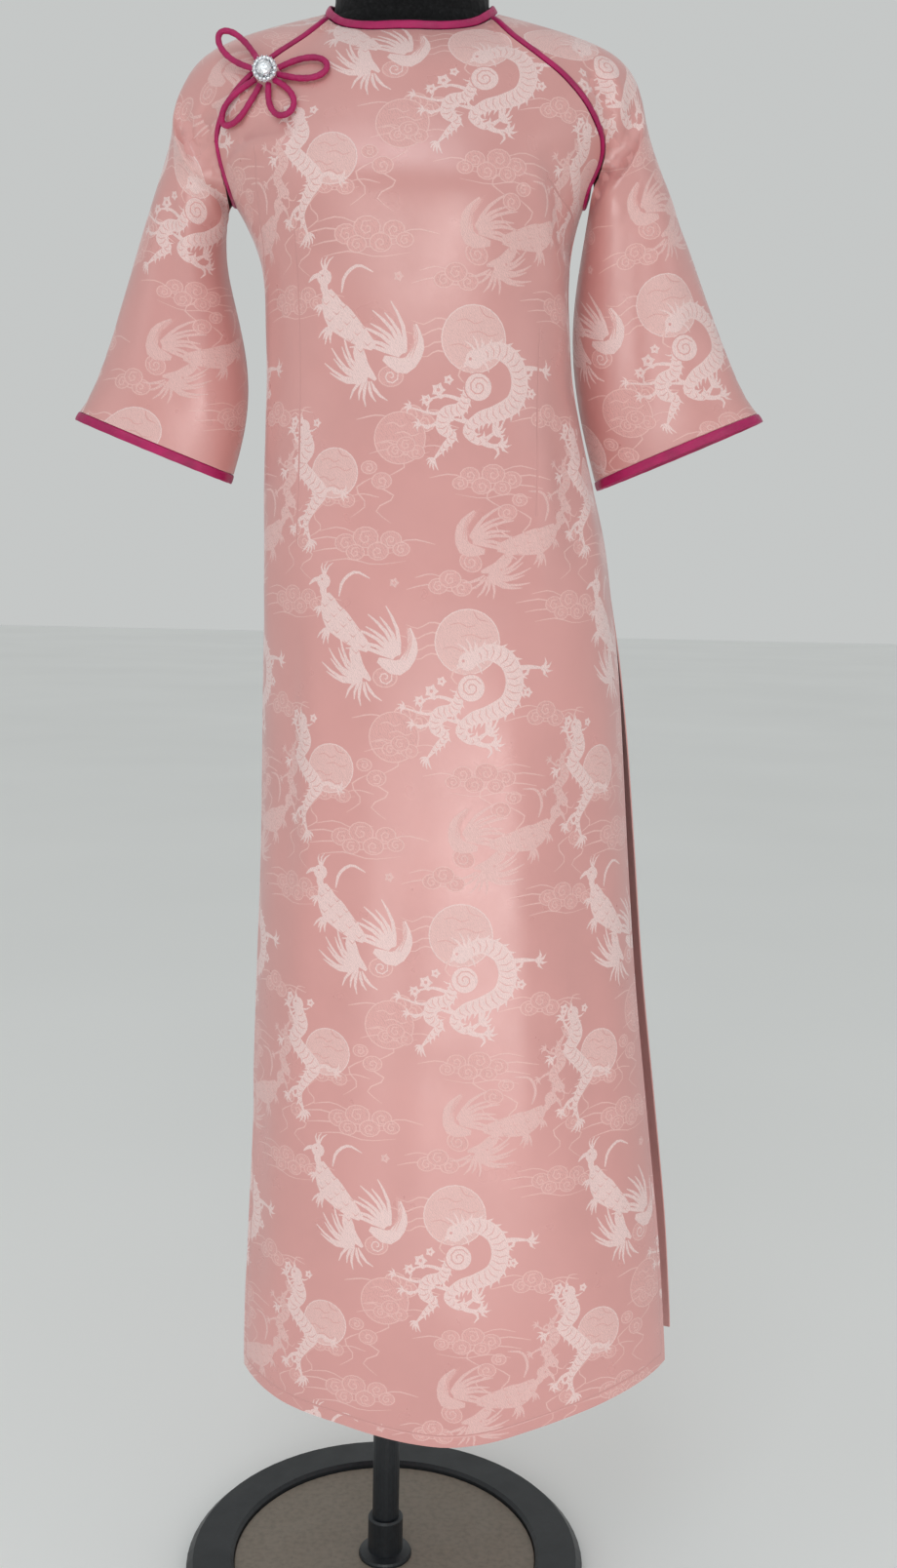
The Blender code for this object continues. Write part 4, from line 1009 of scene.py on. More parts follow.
def cloth_object(name, cloth, drawing, finishes):
    """A thin two-sided shell: the figured outer face, a plain inner face and the cut edge."""
    spots, tris, tops, shapes, _ = triangles(cloth.outline(), drawing, GRID)
    tris = np.array(tris)
    position, normal, up = cloth.place(spots)
    beside = np.cross(up, normal)
    used = np.unique(tris)
    place_of = np.full(len(spots), -1)
    place_of[used] = np.arange(len(used))
    edges = {}
    for a, b, c in tris:
        for edge in ((a, b), (b, c), (c, a)):
            edges[edge] = True
    follows = {a: b for a, b in edges if (b, a) not in edges}
    rim = [next(iter(follows))]
    while follows.get(rim[-1]) is not None and follows[rim[-1]] != rim[0] and len(rim) <= len(follows):
        rim.append(follows[rim[-1]])
    inner_spots, inner_tris, _, _, origin = triangles(spots[rim], None, GRID * 1.6)
    inner_position, inner_normal, _ = cloth.place(inner_spots)
    inner_of = {}
    for number, sources in enumerate(origin):
        for source in sources:
            if source < len(rim):
                inner_of[rim[source]] = number
    outer_count = len(used)
    verts = np.concatenate((position[used], inner_position - inner_normal * THICKNESS))
    for vertex, number in inner_of.items():
        verts[outer_count + number] = position[vertex] - normal[vertex] * THICKNESS
    faces = place_of[tris].tolist()
    weave_of = [shapes[top][0] if shapes[top] else GROUND for top in tops]
    loops = []
    for tri, top in zip(tris, tops):
        tilt = shapes[top][1] if shapes[top] else (0, 0)
        for vertex in tri:
            loops.append(normal[vertex] + beside[vertex] * tilt[0] + up[vertex] * tilt[1])
    for tri in inner_tris:
        faces.append([outer_count + n for n in tri[::-1]])
        weave_of.append(REVERSE)
        loops.extend(-inner_normal[n] for n in tri[::-1])
    for a, b in zip(rim, rim[1:] + rim[:1]):
        if a in inner_of and b in inner_of:
            face = [place_of[b], place_of[a], outer_count + inner_of[a], outer_count + inner_of[b]]
            if len(set(face)) == 4:
                faces.append([int(n) for n in face])
                weave_of.append(GROUND)
                flat = np.cross(verts[face[1]] - verts[face[0]], verts[face[3]] - verts[face[0]])
                loops.extend([flat / (np.linalg.norm(flat) + 1e-12)] * 4)
    keep = np.unique(np.concatenate(faces))
    renumber = np.full(len(verts), -1)
    renumber[keep] = np.arange(len(keep))
    mesh = bpy.data.meshes.new(name)
    mesh.from_pydata(verts[keep].tolist(), [], [[int(renumber[n]) for n in face] for face in faces])
    mesh.polygons.foreach_set("material_index", weave_of)
    mesh.shade_smooth()
    for finish in finishes:
        mesh.materials.append(finish)
    mesh.normals_split_custom_set(np.array(loops).tolist())
    mesh.update()
    made = bpy.data.objects.new(name, mesh)
    bpy.context.scene.collection.objects.link(made)
    a, b, c = (spots[tris[:, n]] for n in range(3))
    area = float(np.abs(np.cross(b - a, c - a)).sum() / 2)
    size = spots[used].max(0) - spots[used].min(0)
    return made, size, area


def figured(cloth, offset, extra=None):
    """The woven repeat set out over a piece, shifted by offset, with the piece's own lines on top."""
    made, lines = Drawing(), Drawing()
    flat, figures = cloth.flat.reshape(-1, 2), np.array(FIGURES.points)
    for row in range(-7, 7):
        for column in range(-4, 5):
            shift = np.array((offset[0] + column * REPEAT_WIDE, offset[1] + row * REPEAT_HIGH))
            if (figures.max(0) + shift > flat.min(0)).all() and (figures.min(0) + shift < flat.max(0)).all():
                made.placed(FIGURES, *shift)
    if extra:
        extra(lines)
        made.placed(lines.sorted_out(), 0, 0)
    return made


def pressed(made, line, width, slope):
    """A pressed line: its two sides lean in toward the middle."""
    way = unit(np.gradient(line, axis=0))
    side = np.stack((-way[:, 1], way[:, 0]), 1) * width
    middle = way[len(way) // 2]
    lean = (-middle[1] * slope, middle[0] * slope)
    # Both sides take the pressed-line satin, painted a little darker as shade in the crease.
    made.strip(line + side, line, LINE, (-lean[0], -lean[1]))
    made.strip(line, line - side, LINE, lean)


# ---- the panels ----------------------------------------------------------------------
def panel_cloth(of_back):
    """The front or back as a fine grid with its flat layout: up the middle, and round from x = 0."""
    lower, upper = panel_rows(of_back)
    grid = fine_grid([np.array([[tuple(p) for p in row] for row in lower]),
                      np.array([[tuple(p) for p in row] for row in [lower[-1]] + upper])], PANEL_FINE)
    x, y, z = grid[..., 0], grid[..., 1], grid[..., 2]
    steps = np.hypot(np.diff(x, axis=1), np.diff(y, axis=1))
    round_it = np.concatenate((np.zeros((len(grid), 1)), np.cumsum(steps, axis=1)), 1)
    start = np.array([np.interp(0.0, x[n], round_it[n]) for n in range(len(grid))])
    u = (round_it - start[:, None]) * (-1 if of_back else 1)
    middle = grid[:, grid.shape[1] // 2]
    climb = run_along(middle[:, 1:])
    level = np.interp(z, middle[:, 2], climb)
    level += np.maximum(z - middle[-1, 2], 0) * 1.15 - np.maximum(middle[0, 2] - z, 0)
    v = level - np.interp(0.9, middle[:, 2], climb) + 0.9
    normal = unit(np.cross(np.gradient(grid, axis=1), np.gradient(grid, axis=0)))
    facing = 1 if of_back else -1
    normal *= np.sign(normal[..., 1:2].mean()) * facing
    return Cloth(grid, np.stack((u, v), -1), normal, PANEL_ROOM)


def panel_rows(of_back):
    """The same rows as the solid's, in two groups that meet at the underarm."""
    surface, hem = (back_y, "back") if of_back else (front_y, "front")
    shift = SEAM_HALF_GAP if of_back else -SEAM_HALF_GAP
    across = np.sin(np.linspace(-1, 1, PANEL_COLUMNS + 1) * EDGE_TURN) / math.sin(EDGE_TURN)
    hem_z = smooth(HEM["across"], HEM[hem])(across)
    heights = [hem_z + (SLIT_TOP_Z - hem_z) * share for share in (0, .04, .17, .33, .50, .66, .80, .91)]
    heights += [np.full(len(across), z) for z in (.92, .965, 1.01, 1.055, 1.10, 1.14, 1.175, 1.205, 1.227)]
    heights.append(np.full(len(across), UNDERARM_Z - PIPING_CLEAR))
    rows = []
    for z in heights:
        left, right = body["left"](z), body["right"](z) + body["back_flare"](z) * of_back
        x = (left + right) / 2 + (right - left) / 2 * across
        rows.append([Vector(p) for p in zip(x, surface(x, z) + shift, z)])
    return rows, yoke_rows(rows[-1], of_back, surface, shift)


def freed(cloth, sewn, reach):
    """How freely each grid place may move: 0 at the sewn edges, 1 from reach away on."""
    away = np.full(cloth.grid.shape[:2], 1e9)
    for point in np.concatenate(sewn)[::2]:
        away = np.minimum(away, ((cloth.grid - point) ** 2).sum(-1))
    t = np.clip(np.sqrt(away) / reach, 0, 1)
    return t * t * (3 - 2 * t)


# ---- bindings, piping and cords ------------------------------------------------------
def mesh_piece(name, verts, faces, finish, smooth_angle=60):
    """A smooth-shaded object with its faces turned outward."""
    mesh = bpy.data.meshes.new(name)
    mesh.from_pydata([tuple(v) for v in verts], [], faces)
    shape = bmesh.new()
    shape.from_mesh(mesh)
    bmesh.ops.recalc_face_normals(shape, faces=shape.faces)
    shape.to_mesh(mesh)
    shape.free()
    mesh.materials.append(finish)
    mesh.shade_smooth()
    mesh.set_sharp_from_angle(angle=math.radians(smooth_angle))
    made = bpy.data.objects.new(name, mesh)
    bpy.context.scene.collection.objects.link(made)
    return made


def swept(name, path, ways, outs, section, finish, closed, grow=None):
    """A section of (across, out) pairs carried along a path with its own directions."""
    sides = len(section)
    verts, faces = [], []
    for n in range(len(path)):
        size = grow[n] if grow is not None else 1.0
        for a, b in section:
            verts.append(path[n] + ways[n] * a * size + outs[n] * b * size)
    count = len(path)
    for n in range(count if closed else count - 1):
        for k in range(sides):
            a, b = n * sides + k, n * sides + (k + 1) % sides
            c, d = (n + 1) % count * sides + (k + 1) % sides, (n + 1) % count * sides + k
            faces.append([a, b, c, d])
    if not closed:
        faces.append(list(range(sides))[::-1])
        faces.append(list(range((count - 1) * sides, count * sides)))
    return mesh_piece(name, verts, faces, finish)


def binding_section(width, thickness):
    """A folded strip: full rounded edges, slightly domed, with a sunk line of stitching near one edge."""
    section = []
    for n in range(22):
        angle = 2 * math.pi * n / 22
        c, s = math.cos(angle), math.sin(angle)
        a = width / 2 * math.copysign(abs(c) ** 0.55, c)
        b = thickness / 2 * math.copysign(abs(s) ** 0.8, s)
        if s > 0.2 and -0.62 < c < -0.38:
            b *= 0.80
        section.append((a, b))
    return section


def round_section(wide, deep, sides=14):
    """A cord's cross-section."""
    return [(wide * math.cos(2 * math.pi * n / sides), deep * math.sin(2 * math.pi * n / sides))
            for n in range(sides)]


def closed_frames(path, ways, centre):
    """Outward directions of a closed path whose ways across it are known."""
    along = unit(np.roll(path, -1, 0) - np.roll(path, 1, 0))
    outs = unit(np.cross(along, ways))
    return outs * np.sign((outs * (path - centre)).sum(1, keepdims=True))


def cord_frames(path):
    """Directions beside and out of a cord that lies facing forward."""
    along = unit(np.gradient(path, axis=0))
    beside = unit(np.cross(along, np.array((0.0, -1.0, 0.0))))
    return beside, unit(np.cross(beside, along))


def neck_binding():
    """The folded strip round the neckline."""
    angles = np.arange(0, 360, 2.0)
    path = np.array([neckline_point(a) for a in angles])
    ups = np.array([neckline_up(a) for a in angles])
    outs = closed_frames(path, ups, path.mean(0))
    puff = 1 + 0.02 * np.sin(np.radians(angles) * 23) + 0.015 * np.sin(np.radians(angles) * 41 + 1)
    made = swept("neck_binding_fold", path - outs * CLOTH / 2, ups, outs,
                 binding_section(BINDING_WIDTH, BINDING_THICKNESS), TRIM, True, puff)
    return made


def cuff_binding(side, cloth):
    """The folded strip round a sleeve's lower edge."""
    edge, above = cloth.grid[-1], cloth.grid[-4]
    if side == "right":
        edge, above = edge[::-1], above[::-1]
    edge, above = edge[:-1], above[:-1]
    down = unit(edge - above)
    path = edge + down * (CUFF_BINDING_WIDTH / 2 + 0.0005)
    outs = closed_frames(path, down, path.mean(0))
    turn = np.linspace(0, 2 * math.pi, len(path), endpoint=False)
    puff = 1 + 0.02 * np.sin(turn * 19) + 0.015 * np.sin(turn * 37 + 2)
    made = swept("cuff_binding_fold_" + side, path - outs * CLOTH / 2, -down, outs,
                 binding_section(CUFF_BINDING_WIDTH, BINDING_THICKNESS), TRIM, True, puff)
    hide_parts("cuff_binding_" + side)
    return made


def raglan_piping(side):
    """The covered cord that runs from the neck under the arm and up to the neck behind."""
    front, rear = SEAMS[side, False][0][::-1], SEAMS[side, True][0][::-1]
    points = [front[-1].lerp(front[-2], 0.4)] + [front[n] for n in SEAM_STOPS[::-1]] + [front[0]]
    points += [rear[n] for n in SEAM_STOPS] + [rear[-1].lerp(rear[-2], 0.4)]
    path = curve(points, 170)
    along = unit(np.gradient(path, axis=0))
    centre = np.array((CENTRE_X, 0.0, 1.24))
    outs = path - centre
    outs[:, 1] *= 2.0
    outs = unit(outs - along * (outs * along).sum(1, keepdims=True))
    beside = unit(np.cross(along, outs))
    length = np.linspace(0, 1, len(path))
    puff = 1 + 0.03 * np.sin(length * 170) + 0.02 * np.sin(length * 77 + 1)
    made = swept("raglan_piping_cord_" + side, path, beside, outs,
                 round_section(PIPING_RADIUS * 1.12, PIPING_RADIUS), TRIM, False, puff)
    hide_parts("raglan_piping_" + side)
    return made


# ---- the frog ------------------------------------------------------------------------
def node_tree(name):
    """A CAD node's surface, for finding where something lies on it."""
    mesh = NODES[name].data
    return BVHTree.FromPolygons([v.co.copy() for v in mesh.vertices], [list(p.vertices) for p in mesh.polygons])


def lying_on(trees, x, z, clear):
    """How far forward the cloth reaches at a place seen from the front."""
    foremost = 1.0
    for dx, dz in ((0, 0), (clear, 0), (-clear, 0), (0, clear), (0, -clear)):
        for tree in trees:
            hit = tree.ray_cast(Vector((x + dx, -0.5, z + dz)), Vector((0, 1, 0)), 0.62)
            if hit[0] is not None:
                foremost = min(foremost, hit[0].y)
    return foremost


def frog():
    """Lays the frog's four loops on the cloth; gives the y of the button's back."""
    trees = [node_tree(name) for name in ("front_panel", "sleeve_right", "raglan_piping_right")]
    start = 0.0098
    for name, angle, length, half, lift in zip(*FROG.values()):
        way = math.radians(angle)
        along, beside = Vector((math.cos(way), math.sin(way))), Vector((-math.sin(way), math.cos(way)))
        points = []
        for step in range(25):
            turn = 2 * math.pi * step / 24
            reach = start + (length - start) * (1 - math.cos(turn)) / 2
            narrow = 0.0030 * (1 + math.cos(turn)) / 2
            width = half * math.sin(turn) * abs(math.sin(turn / 2)) ** 1.1
            spot = along * reach + beside * (width + math.copysign(narrow, math.pi - turn))
            if step == 12:
                spot = along * length
            x, z = BUTTON_SIDE + spot.x, BUTTON_Z + spot.y
            share = (reach / length) ** 2
            y = lying_on(trees, x, z, CORD_RADIUS)
            points.append((x, y - CORD_RADIUS - 0.0009 - lift * share, z + lift * 0.6 * share))
        points = np.array(points)
        eased = points.copy()
        for n in range(1, len(points) - 1):
            eased[n, 1] = min(points[n, 1], (eased[n - 1, 1] + points[n + 1, 1]) / 2)
        path = curve(eased, 120)
        across, outs = cord_frames(path)
        t = np.linspace(0, 1, len(path))
        puff = 1 + 0.035 * np.sin(t * 95 + angle) + 0.03 * np.sin(t * 41 + 2) + 0.02 * np.sin(t * 211)
        made = swept("frog_cord_" + name, path, across, outs,
                     round_section(CORD_RADIUS * 1.06, CORD_RADIUS * 0.96), TRIM, False, puff)
        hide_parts("frog_loop_" + name)
        TRIM_PIECES.append(made)
    foremost = lying_on(trees, BUTTON_SIDE, BUTTON_Z, BUTTON_RADIUS)
    return foremost - 2 * CORD_RADIUS - 0.0038


def ring_of(verts, faces, profile, steps, x=0.0, z=0.0, turn=0.0):
    """Adds a turned shape, (radius, height) from its middle top outward, standing forward of y = 0."""
    first = len(verts)
    for radius, height in profile:
        for n in range(steps):
            angle = 2 * math.pi * n / steps + turn
            verts.append((x + radius * math.cos(angle), -height, z + radius * math.sin(angle)))
    for row in range(len(profile) - 1):
        for n in range(steps):
            a, b = first + row * steps + n, first + row * steps + (n + 1) % steps
            faces.append([a, b, b + steps, a + steps])
    faces.append(list(range(first, first + steps)))
    last = first + (len(profile) - 1) * steps
    faces.append(list(range(last, last + steps)))


def button(back):
    """A round setting with a ring of small stones and prongs about a larger cut crystal."""
    verts, faces = [], []
    r = BUTTON_RADIUS
    ring_of(verts, faces, [(r * .60, .0022), (r * .90, .0020), (r * .97, .0012), (r * .93, 0)], 64)
    ring_of(verts, faces, [(r * .545, .0036), (r * .60, .0038), (r * .64, .0030), (r * .64, .0016)], 64)
    for n in range(16):
        a = 2 * math.pi * (n + 0.5) / 16
        for radius, size, height in ((r * .97, .00058, .0036), (r * .66, .00050, .0042)):
            ring_of(verts, faces, [(size * .5, height), (size, height * .82), (size, .0010)], 8,
                    radius * math.cos(a), radius * math.sin(a))
    for n in range(8):
        a = 2 * math.pi * n / 8
        ring_of(verts, faces, [(.0004, .0058), (.0008, .0052), (.0008, .0022)], 8,
                r * .535 * math.cos(a), r * .535 * math.sin(a))
    setting = mesh_piece("button_setting_ring", verts, faces, SILVER, 30)
    verts, faces = [], []
    for n in range(16):
        a = 2 * math.pi * n / 16
        ring_of(verts, faces, [(.0008, .0038), (.0013, .0033), (.00155, .0027), (.0012, .0018)], 8,
                r * .80 * math.cos(a), r * .80 * math.sin(a), a)
    c = CRYSTAL_RADIUS
    ring_of(verts, faces, [(c * .50, .0068), (c * .80, .0060), (c * .99, .0049), (c * .99, .0044),
                           (c * .80, .0036)], 12)
    stones = mesh_piece("button_stones", verts, faces, CRYSTAL, 8)
    for piece in (setting, stones):
        piece.data.transform(Matrix.Translation((BUTTON_SIDE, back, BUTTON_Z)))
    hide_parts("button_setting")
    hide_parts("button_crystal")
    return setting, stones


# ---- the camera, floor and light -----------------------------------------------------
def camera():
    """The view: from a little to the wearer's left of the front, at waist height."""
    heading, pitch, roll = math.radians(5.0 - 1.94), math.radians(8.0), math.radians(1.10)
    stand, height = math.radians(5.0), 0.945
    ahead = Vector((-math.sin(heading) * math.cos(pitch), math.cos(heading) * math.cos(pitch), -math.sin(pitch)))
    right = Vector((math.cos(heading), math.sin(heading), 0))
    up = right.cross(ahead)
    right, up = right * math.cos(roll) + up * math.sin(roll), up * math.cos(roll) - right * math.sin(roll)
    data = bpy.data.cameras.new("camera")
    data.sensor_width, data.lens = 36, 35.82
    data.clip_start = 0.02
    made = bpy.data.objects.new("camera", data)
    spot = Vector((1.37 * math.sin(stand), -1.37 * math.cos(stand), height))
    made.matrix_world = Matrix(((right.x, up.x, -ahead.x, spot.x), (right.y, up.y, -ahead.y, spot.y),
                                (right.z, up.z, -ahead.z, spot.z), (0, 0, 0, 1)))
    bpy.context.scene.collection.objects.link(made)
    bpy.context.scene.camera = made


def studio():
    """A plain pale floor under an even pale surround, and soft lights."""
    paper = Nodes("pale_floor")
    paper.join(paper.ramp(paper.noise(0.7, 2), [(0.3, rgb(242, 243, 242)), (0.7, rgb(246, 247, 246))]),
               "Base Color")
    paper.set(Roughness=0.9, Specular_IOR_Level=0.2)
    corners = [(x * 20, y * 20, -0.0004) for x, y in ((-1, -1), (1, -1), (1, 1), (-1, 1))]
    mesh_piece("floor", corners, [[0, 1, 2, 3]], paper.material)
    for name, spot, aim, size, power, tint in (
            ("overhead", (-0.3, -2.1, 2.7), (0, 0, 1.15), 1.3, 12, (0.88, 0.95, 1.0)),
            ("left", (-2.4, -1.6, 1.7), (0, 0, 0.9), 1.8, 3.5, (1.0, 1.0, 1.0)),
            ("right", (2.5, -1.5, 1.8), (0, 0, 0.9), 1.6, 3.5, (1.0, 1.0, 1.0)),
            ("low_front", (0.2, -1.9, 0.35), (0, 0, 0.1), 1.1, 11, (1.0, 0.985, 0.97))):
        data = bpy.data.lights.new(name, "AREA")
        data.shape, data.size, data.energy, data.color = "SQUARE", size, power, tint
        made = bpy.data.objects.new(name, data)
        made.location = spot
        made.rotation_mode = "QUATERNION"
        made.rotation_quaternion = (Vector(aim) - Vector(spot)).to_track_quat("-Z", "Y")
        bpy.context.scene.collection.objects.link(made)
    world = bpy.data.worlds.new("studio")
    world.use_nodes = True
    world.node_tree.nodes["Background"].inputs["Color"].default_value = (0.56, 0.575, 0.57, 1)
    world.node_tree.nodes["Background"].inputs["Strength"].default_value = 1.0
    bpy.context.scene.world = world
    bpy.context.scene.view_settings.view_transform = "Standard"


# ---- the garment ---------------------------------------------------------------------
# Each fold: the line it follows (x, z), its half width, and its depth (below 0 a ridge).
FRONT_FOLDS = [
    (((-.139, 1.266), (-.128, 1.277), (-.111, 1.284), (-.093, 1.285), (-.074, 1.280)), .0060, .0042),
    (((-.141, 1.255), (-.124, 1.264), (-.104, 1.268), (-.078, 1.266)), .0070, -.0035),
    (((.118, 1.276), (.128, 1.250), (.134, 1.224), (.137, 1.190)), .0075, .0038),
    (((.104, 1.262), (.114, 1.232), (.121, 1.196), (.124, 1.150)), .0090, -.0032),
    (((-.118, 1.215), (-.106, 1.180), (-.100, 1.130), (-.099, 1.070)), .0090, .0029),
    (((-.070, 1.200), (-.060, 1.150), (-.058, 1.090)), .0120, -.0019),
    (((.140, 1.120), (.136, 1.060), (.146, .990), (.158, .930)), .0085, .0032),
    (((.124, 1.060), (.120, .980), (.128, .900)), .0110, -.0022),
    (((-.094, 1.000), (-.090, .900), (-.086, .780), (-.084, .640)), .0150, .0035),
    (((-.060, .920), (-.062, .780), (-.068, .600), (-.074, .400)), .0190, -.0032),
    (((.010, .860), (.016, .700), (.010, .520), (.004, .340)), .0240, .0029),
    (((.100, .900), (.110, .760), (.118, .600), (.126, .420)), .0230, -.0035),
    (((.150, .860), (.166, .700), (.178, .520), (.190, .340)), .0170, .0038),
    (((.060, .560), (.070, .440), (.078, .300)), .0260, .0026),
    (((-.110, .500), (-.112, .400), (-.112, .290)), .0120, .0026),
]
BACK_FOLDS = [
    (((-.110, 1.268), (-.120, 1.240), (-.122, 1.200), (-.112, 1.150)), .0080, .0042),
    (((.122, 1.272), (.130, 1.240), (.128, 1.200), (.118, 1.140)), .0080, .0038),
    (((-.070, 1.120), (-.040, 1.085), (.000, 1.070), (.040, 1.078)), .0110, .0035),
    (((-.040, 1.100), (.010, 1.092), (.070, 1.108)), .0100, -.0029),
    (((-.096, 1.060), (-.092, .940), (-.090, .780), (-.086, .600)), .0150, .0042),
    (((-.040, .940), (-.044, .760), (-.052, .560), (-.060, .360)), .0200, -.0042),
    (((.020, .980), (.026, .800), (.022, .600), (.012, .380)), .0180, .0042),
    (((.090, .940), (.104, .760), (.116, .560), (.130, .360)), .0210, -.0045),
    (((.150, .880), (.168, .700), (.184, .500), (.202, .320)), .0160, .0045),
    (((.060, .520), (.072, .400), (.084, .270)), .0240, .0029),
]
SLEEVE_FOLDS = {
    "right": [
        (((-.154, 1.312), (-.151, 1.288), (-.148, 1.264), (-.146, 1.240)), .0078, .0086),
        (((-.172, 1.322), (-.165, 1.300), (-.160, 1.272), (-.154, 1.236), (-.148, 1.200)), .0070, -.0042),
        (((-.181, 1.285), (-.179, 1.221), (-.175, 1.166), (-.168, 1.119), (-.162, 1.050)), .0080, -.0020),
        (((-.192, 1.260), (-.192, 1.200), (-.190, 1.130), (-.184, 1.060)), .0075, .0022),
        (((-.203, 1.230), (-.214, 1.150), (-.224, 1.088), (-.232, 1.060)), .0120, -.0016),
        (((-.238, 1.150), (-.250, 1.110), (-.262, 1.080)), .0100, .0014),
    ],
    "left": [
        (((.148, 1.344), (.157, 1.332), (.163, 1.316), (.162, 1.296), (.159, 1.274), (.155, 1.250)), .0068, .0090),
        (((.166, 1.345), (.173, 1.324), (.176, 1.296), (.172, 1.262), (.168, 1.226)), .0074, -.0042),
        (((.171, 1.262), (.168, 1.210), (.169, 1.150), (.174, 1.090), (.182, 1.040)), .0080, -.0018),
        (((.182, 1.290), (.187, 1.240), (.191, 1.180), (.196, 1.120), (.203, 1.064)), .0085, .0026),
        (((.203, 1.270), (.214, 1.220), (.226, 1.160), (.240, 1.100)), .0110, -.0018),
        (((.222, 1.250), (.240, 1.190), (.258, 1.130)), .0090, .0016),
    ],
}
SLEEVE_BACK_FOLDS = [
    (((.152, 1.300), (.160, 1.280), (.160, 1.250), (.152, 1.215)), .0075, .0050),
    (((.176, 1.320), (.182, 1.280), (.184, 1.230), (.186, 1.170)), .0085, -.0024),
    (((.196, 1.300), (.206, 1.240), (.216, 1.180), (.228, 1.110)), .0090, .0024),
    (((.172, 1.180), (.176, 1.130), (.186, 1.070)), .0090, .0018),
    (((.226, 1.230), (.244, 1.170), (.262, 1.110)), .0100, -.0016),
]


def flat_line(cloth, points):
    """World places (x, z) on a cloth as a smooth flat line."""
    grid = cloth.grid.reshape(-1, 3)
    out = []
    for x, z in points:
        near = ((grid[:, 0] - x) ** 2 + (grid[:, 2] - z) ** 2).argmin()
        out.append(cloth.corners[near] + np.array((x - grid[near, 0], z - grid[near, 2])))
    return curve(out, 30)


def hem_lines(cloth, made):
    """The turned hem along the bottom, and the narrow ones up both slits."""
    first = cloth.flat[0]
    bottom = first[np.argsort(first[:, 0])] + np.array((0, 0.0100))
    pressed(made, curve(bottom[2:-2], 70), 0.0011, TILT)
    slit = int(np.argmin(np.abs(cloth.grid[:, 0, 2] - SLIT_TOP_Z)))
    for edge in (cloth.flat[:slit, 0], cloth.flat[:slit, -1]):
        inward = 0.0058 * np.sign(first[:, 0].mean() - edge[:, 0])[:, None]
        line = edge + np.concatenate((inward, np.zeros_like(inward)), 1)
        pressed(made, curve(line[2:], 80), 0.0009, TILT)


def front_lines(cloth):
    """The front's hems, darts and underarm pleat."""
    def draw(made):
        hem_lines(cloth, made)
        for points, width in (
                (((-.111, 1.268), (-.110, 1.240), (-.110, 1.189)), 0.0010),
                (((-.078, 1.204), (-.0765, 1.140), (-.076, 1.080), (-.0765, 1.020), (-.078, .958)), 0.0009),
                (((.117, 1.135), (.1165, 1.085), (.117, 1.047), (.118, .985)), 0.0009),
                (((.120, 1.247), (.130, 1.237), (.142, 1.225)), 0.0011)):
            pressed(made, flat_line(cloth, points), width, TILT)
    return draw


def back_lines(cloth):
    """The back's hems and darts."""
    def draw(made):
        hem_lines(cloth, made)
        for points in (((-.060, 1.190), (-.058, 1.110), (-.057, 1.050), (-.060, .960)),
                       ((.076, 1.190), (.074, 1.110), (.074, 1.050), (.078, .960))):
            pressed(made, flat_line(cloth, points), 0.0009, TILT)
    return draw


def build_panel(name, of_back):
    cloth = panel_cloth(of_back)
    cloth.fold(BACK_FOLDS if of_back else FRONT_FOLDS, 1 if of_back else -1)
    first_yoke = int(np.argmax(cloth.grid[:, 0, 2] > UNDERARM_Z - PIPING_CLEAR - 1e-6))
    grid = cloth.grid
    cloth.settle(freed(cloth, (grid[-1], grid[first_yoke:, 0], grid[first_yoke:, -1]), PANEL_EASE))
    offset = (-0.050, 1.118) if of_back else (0.0655, 1.123)
    lines = back_lines(cloth) if of_back else front_lines(cloth)
    piece, size, area = cloth_object(name, cloth, figured(cloth, offset, lines), CLOTH_FINISHES)
    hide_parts("back_panel" if of_back else "front_panel")
    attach(piece, "root")
    return piece, cloth


def sleeve_cloth(side):
    """A sleeve as a fine grid with its flat layout: round from the crest, and down."""
    rows, closed_from = sleeve_rows(side)
    rows = [[tuple(p) for p in row] for row in rows]
    grid = fine_grid([np.array(rows[:closed_from + 1]), np.array(rows[closed_from:])], SLEEVE_FINE)
    apart = np.linalg.norm(grid[:, 0] - grid[:, -1], axis=1)
    columns = np.arange(SLEEVE_FINE)
    from_edge = np.minimum(columns, columns[::-1]) / 8
    free = np.where((apart < 1e-5)[:, None], 1.0, np.clip(from_edge, 0, 1))[1:-1, :, None]
    for _ in range(SLEEVE_SMOOTHINGS):
        grid[1:-1] += ((grid[:-2] + grid[2:]) / 2 - grid[1:-1]) * 0.5 * free
        grid[1:-1, 1:-1] += ((grid[:, :-2] + grid[:, 2:]) / 2 - grid[:, 1:-1])[1:-1] * 0.5 * free[:, 1:-1]
    steps = np.linalg.norm(np.diff(grid, axis=1), axis=2)
    round_it = np.concatenate((np.zeros((len(grid), 1)), np.cumsum(steps, axis=1)), 1)
    middle = grid.shape[1] // 2
    u = (round_it - round_it[:, middle:middle + 1]) * (1 if side == "left" else -1)
    down, seam = run_along(grid[:, middle]), run_along(grid[:, 0])
    share = np.abs(np.linspace(-1, 1, grid.shape[1])) ** 2
    v = -(down[:, None] * (1 - share) + (down * 0.35 + seam * 0.65)[:, None] * share)
    normal = unit(np.cross(np.gradient(grid, axis=1), np.gradient(grid, axis=0)))
    outward = grid[..., 0].mean() - CENTRE_X
    normal *= np.sign(normal[:, middle, 0].mean()) * np.sign(outward)
    return Cloth(grid, np.stack((u, v), -1), normal, SLEEVE_ROOM)


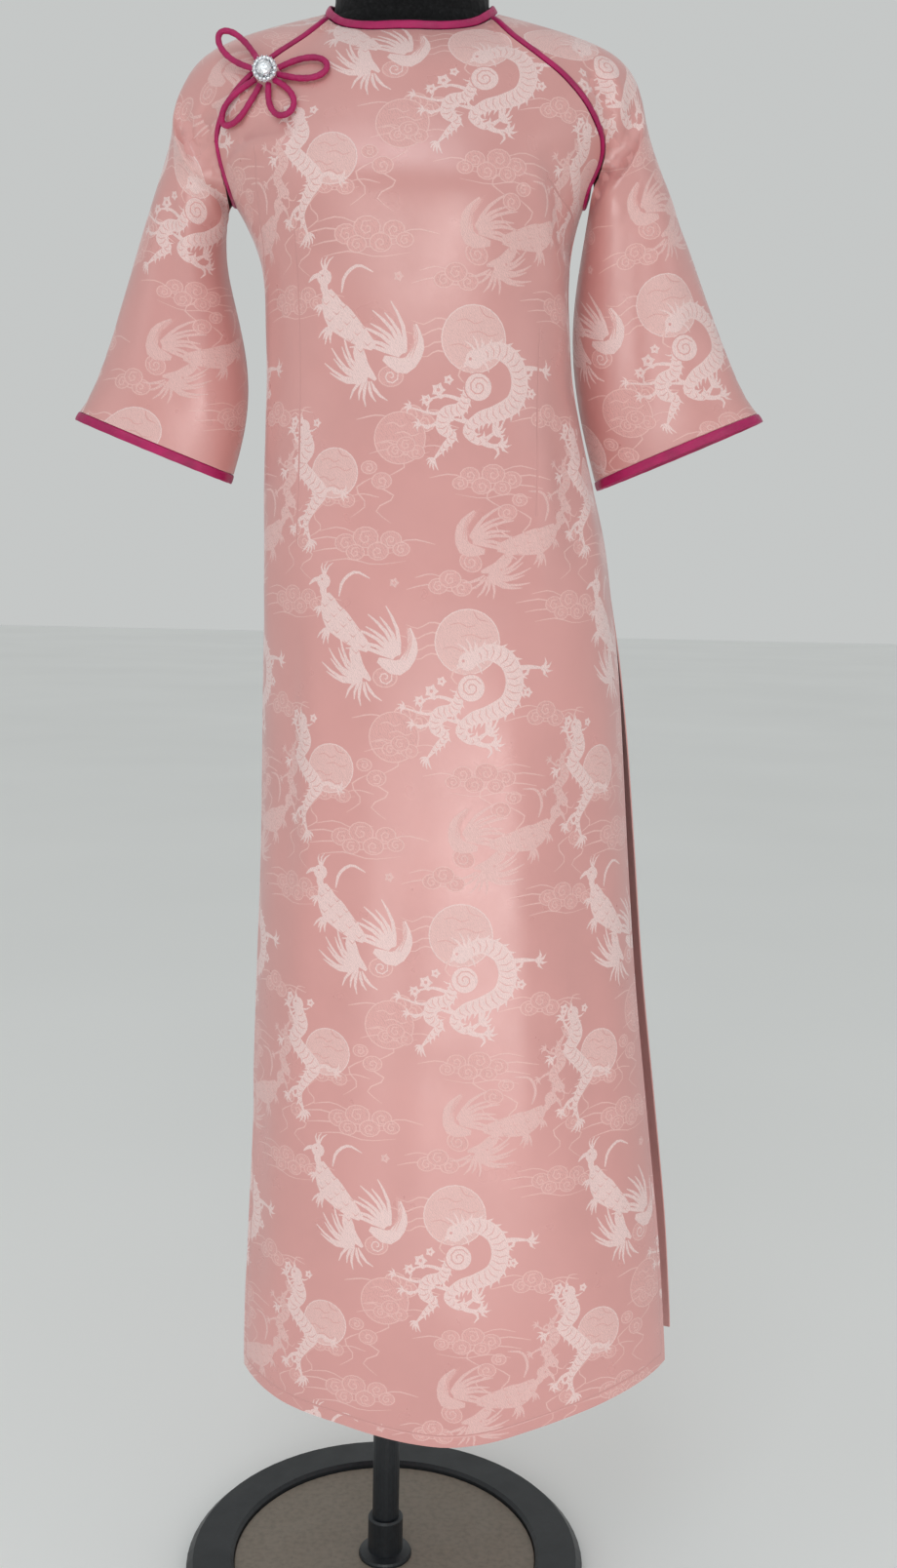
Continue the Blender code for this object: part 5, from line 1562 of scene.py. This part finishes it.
def build_sleeve(side):
    """A sleeve and its cuff binding."""
    cloth = sleeve_cloth(side)
    sign = SIDES[side]
    cloth.fold(SLEEVE_FOLDS[side], -1)
    cloth.fold([(tuple((sign * x + 0.004, z) for x, z in points), width, depth)
                for points, width, depth in SLEEVE_BACK_FOLDS], 1)
    apart = np.linalg.norm(cloth.grid[:, 0] - cloth.grid[:, -1], axis=1)
    ring = int(np.argmax(apart < 1e-5))
    stiff_cuff = np.clip((1.0 - np.linspace(0, 1, len(cloth.grid))) * 10 + 0.35, 0, 1)[:, None]
    sewn = cloth.grid[0], cloth.grid[:ring, 0], cloth.grid[:ring, -1]
    cloth.settle(freed(cloth, sewn, SLEEVE_EASE) * stiff_cuff)
    join_rings(cloth, ring)
    offset = {"left": (-0.060, -0.075), "right": (0.075, -0.190)}[side]
    piece, size, area = cloth_object("sleeve_cloth_" + side, cloth, figured(cloth, offset), CLOTH_FINISHES)
    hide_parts("sleeve_" + side)
    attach(piece, "root")
    binding = cuff_binding(side, cloth)
    TRIM_PIECES.append(binding)


def join_rings(cloth, ring):
    """Gives both edges of the underarm seam the same normals."""
    first, last = cloth.normals[ring:, 0], cloth.normals[ring:, -1]
    both = unit(first + last)
    cloth.normals[ring:, 0] = cloth.normals[ring:, -1] = both
    cloth.values = np.concatenate((cloth.grid, cloth.normals, cloth.up), -1).reshape(-1, 9)


TRIM_PIECES = []
SIDES = {"right": -1, "left": 1}
SEAMS = {(side, of_back): raglan(sign, of_back) for side, sign in SIDES.items() for of_back in (False, True)}
camera()
studio()
FIGURES = repeat_figures().sorted_out()
build_panel("front_cloth", False)
build_panel("back_cloth", True)
for side in SIDES:
    build_sleeve(side)
neck = neck_binding()
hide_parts("neck_binding")
TRIM_PIECES.append(neck)
for side in SIDES:
    TRIM_PIECES.append(raglan_piping(side))
for piece in button(frog()):
    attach(piece, "root")
for piece in TRIM_PIECES:
    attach(piece, "root")

for node, finish in (("form_body", FORM_COVER), ("neck_cap", BLACK_PAINT), ("pole", BLACK_PAINT),
                     ("pole_foot", BLACK_PAINT), ("base_ring", BLACK_PAINT), ("base_disc", TAUPE_PAINT)):
    for slot in NODES[node].material_slots:
        slot.material = finish
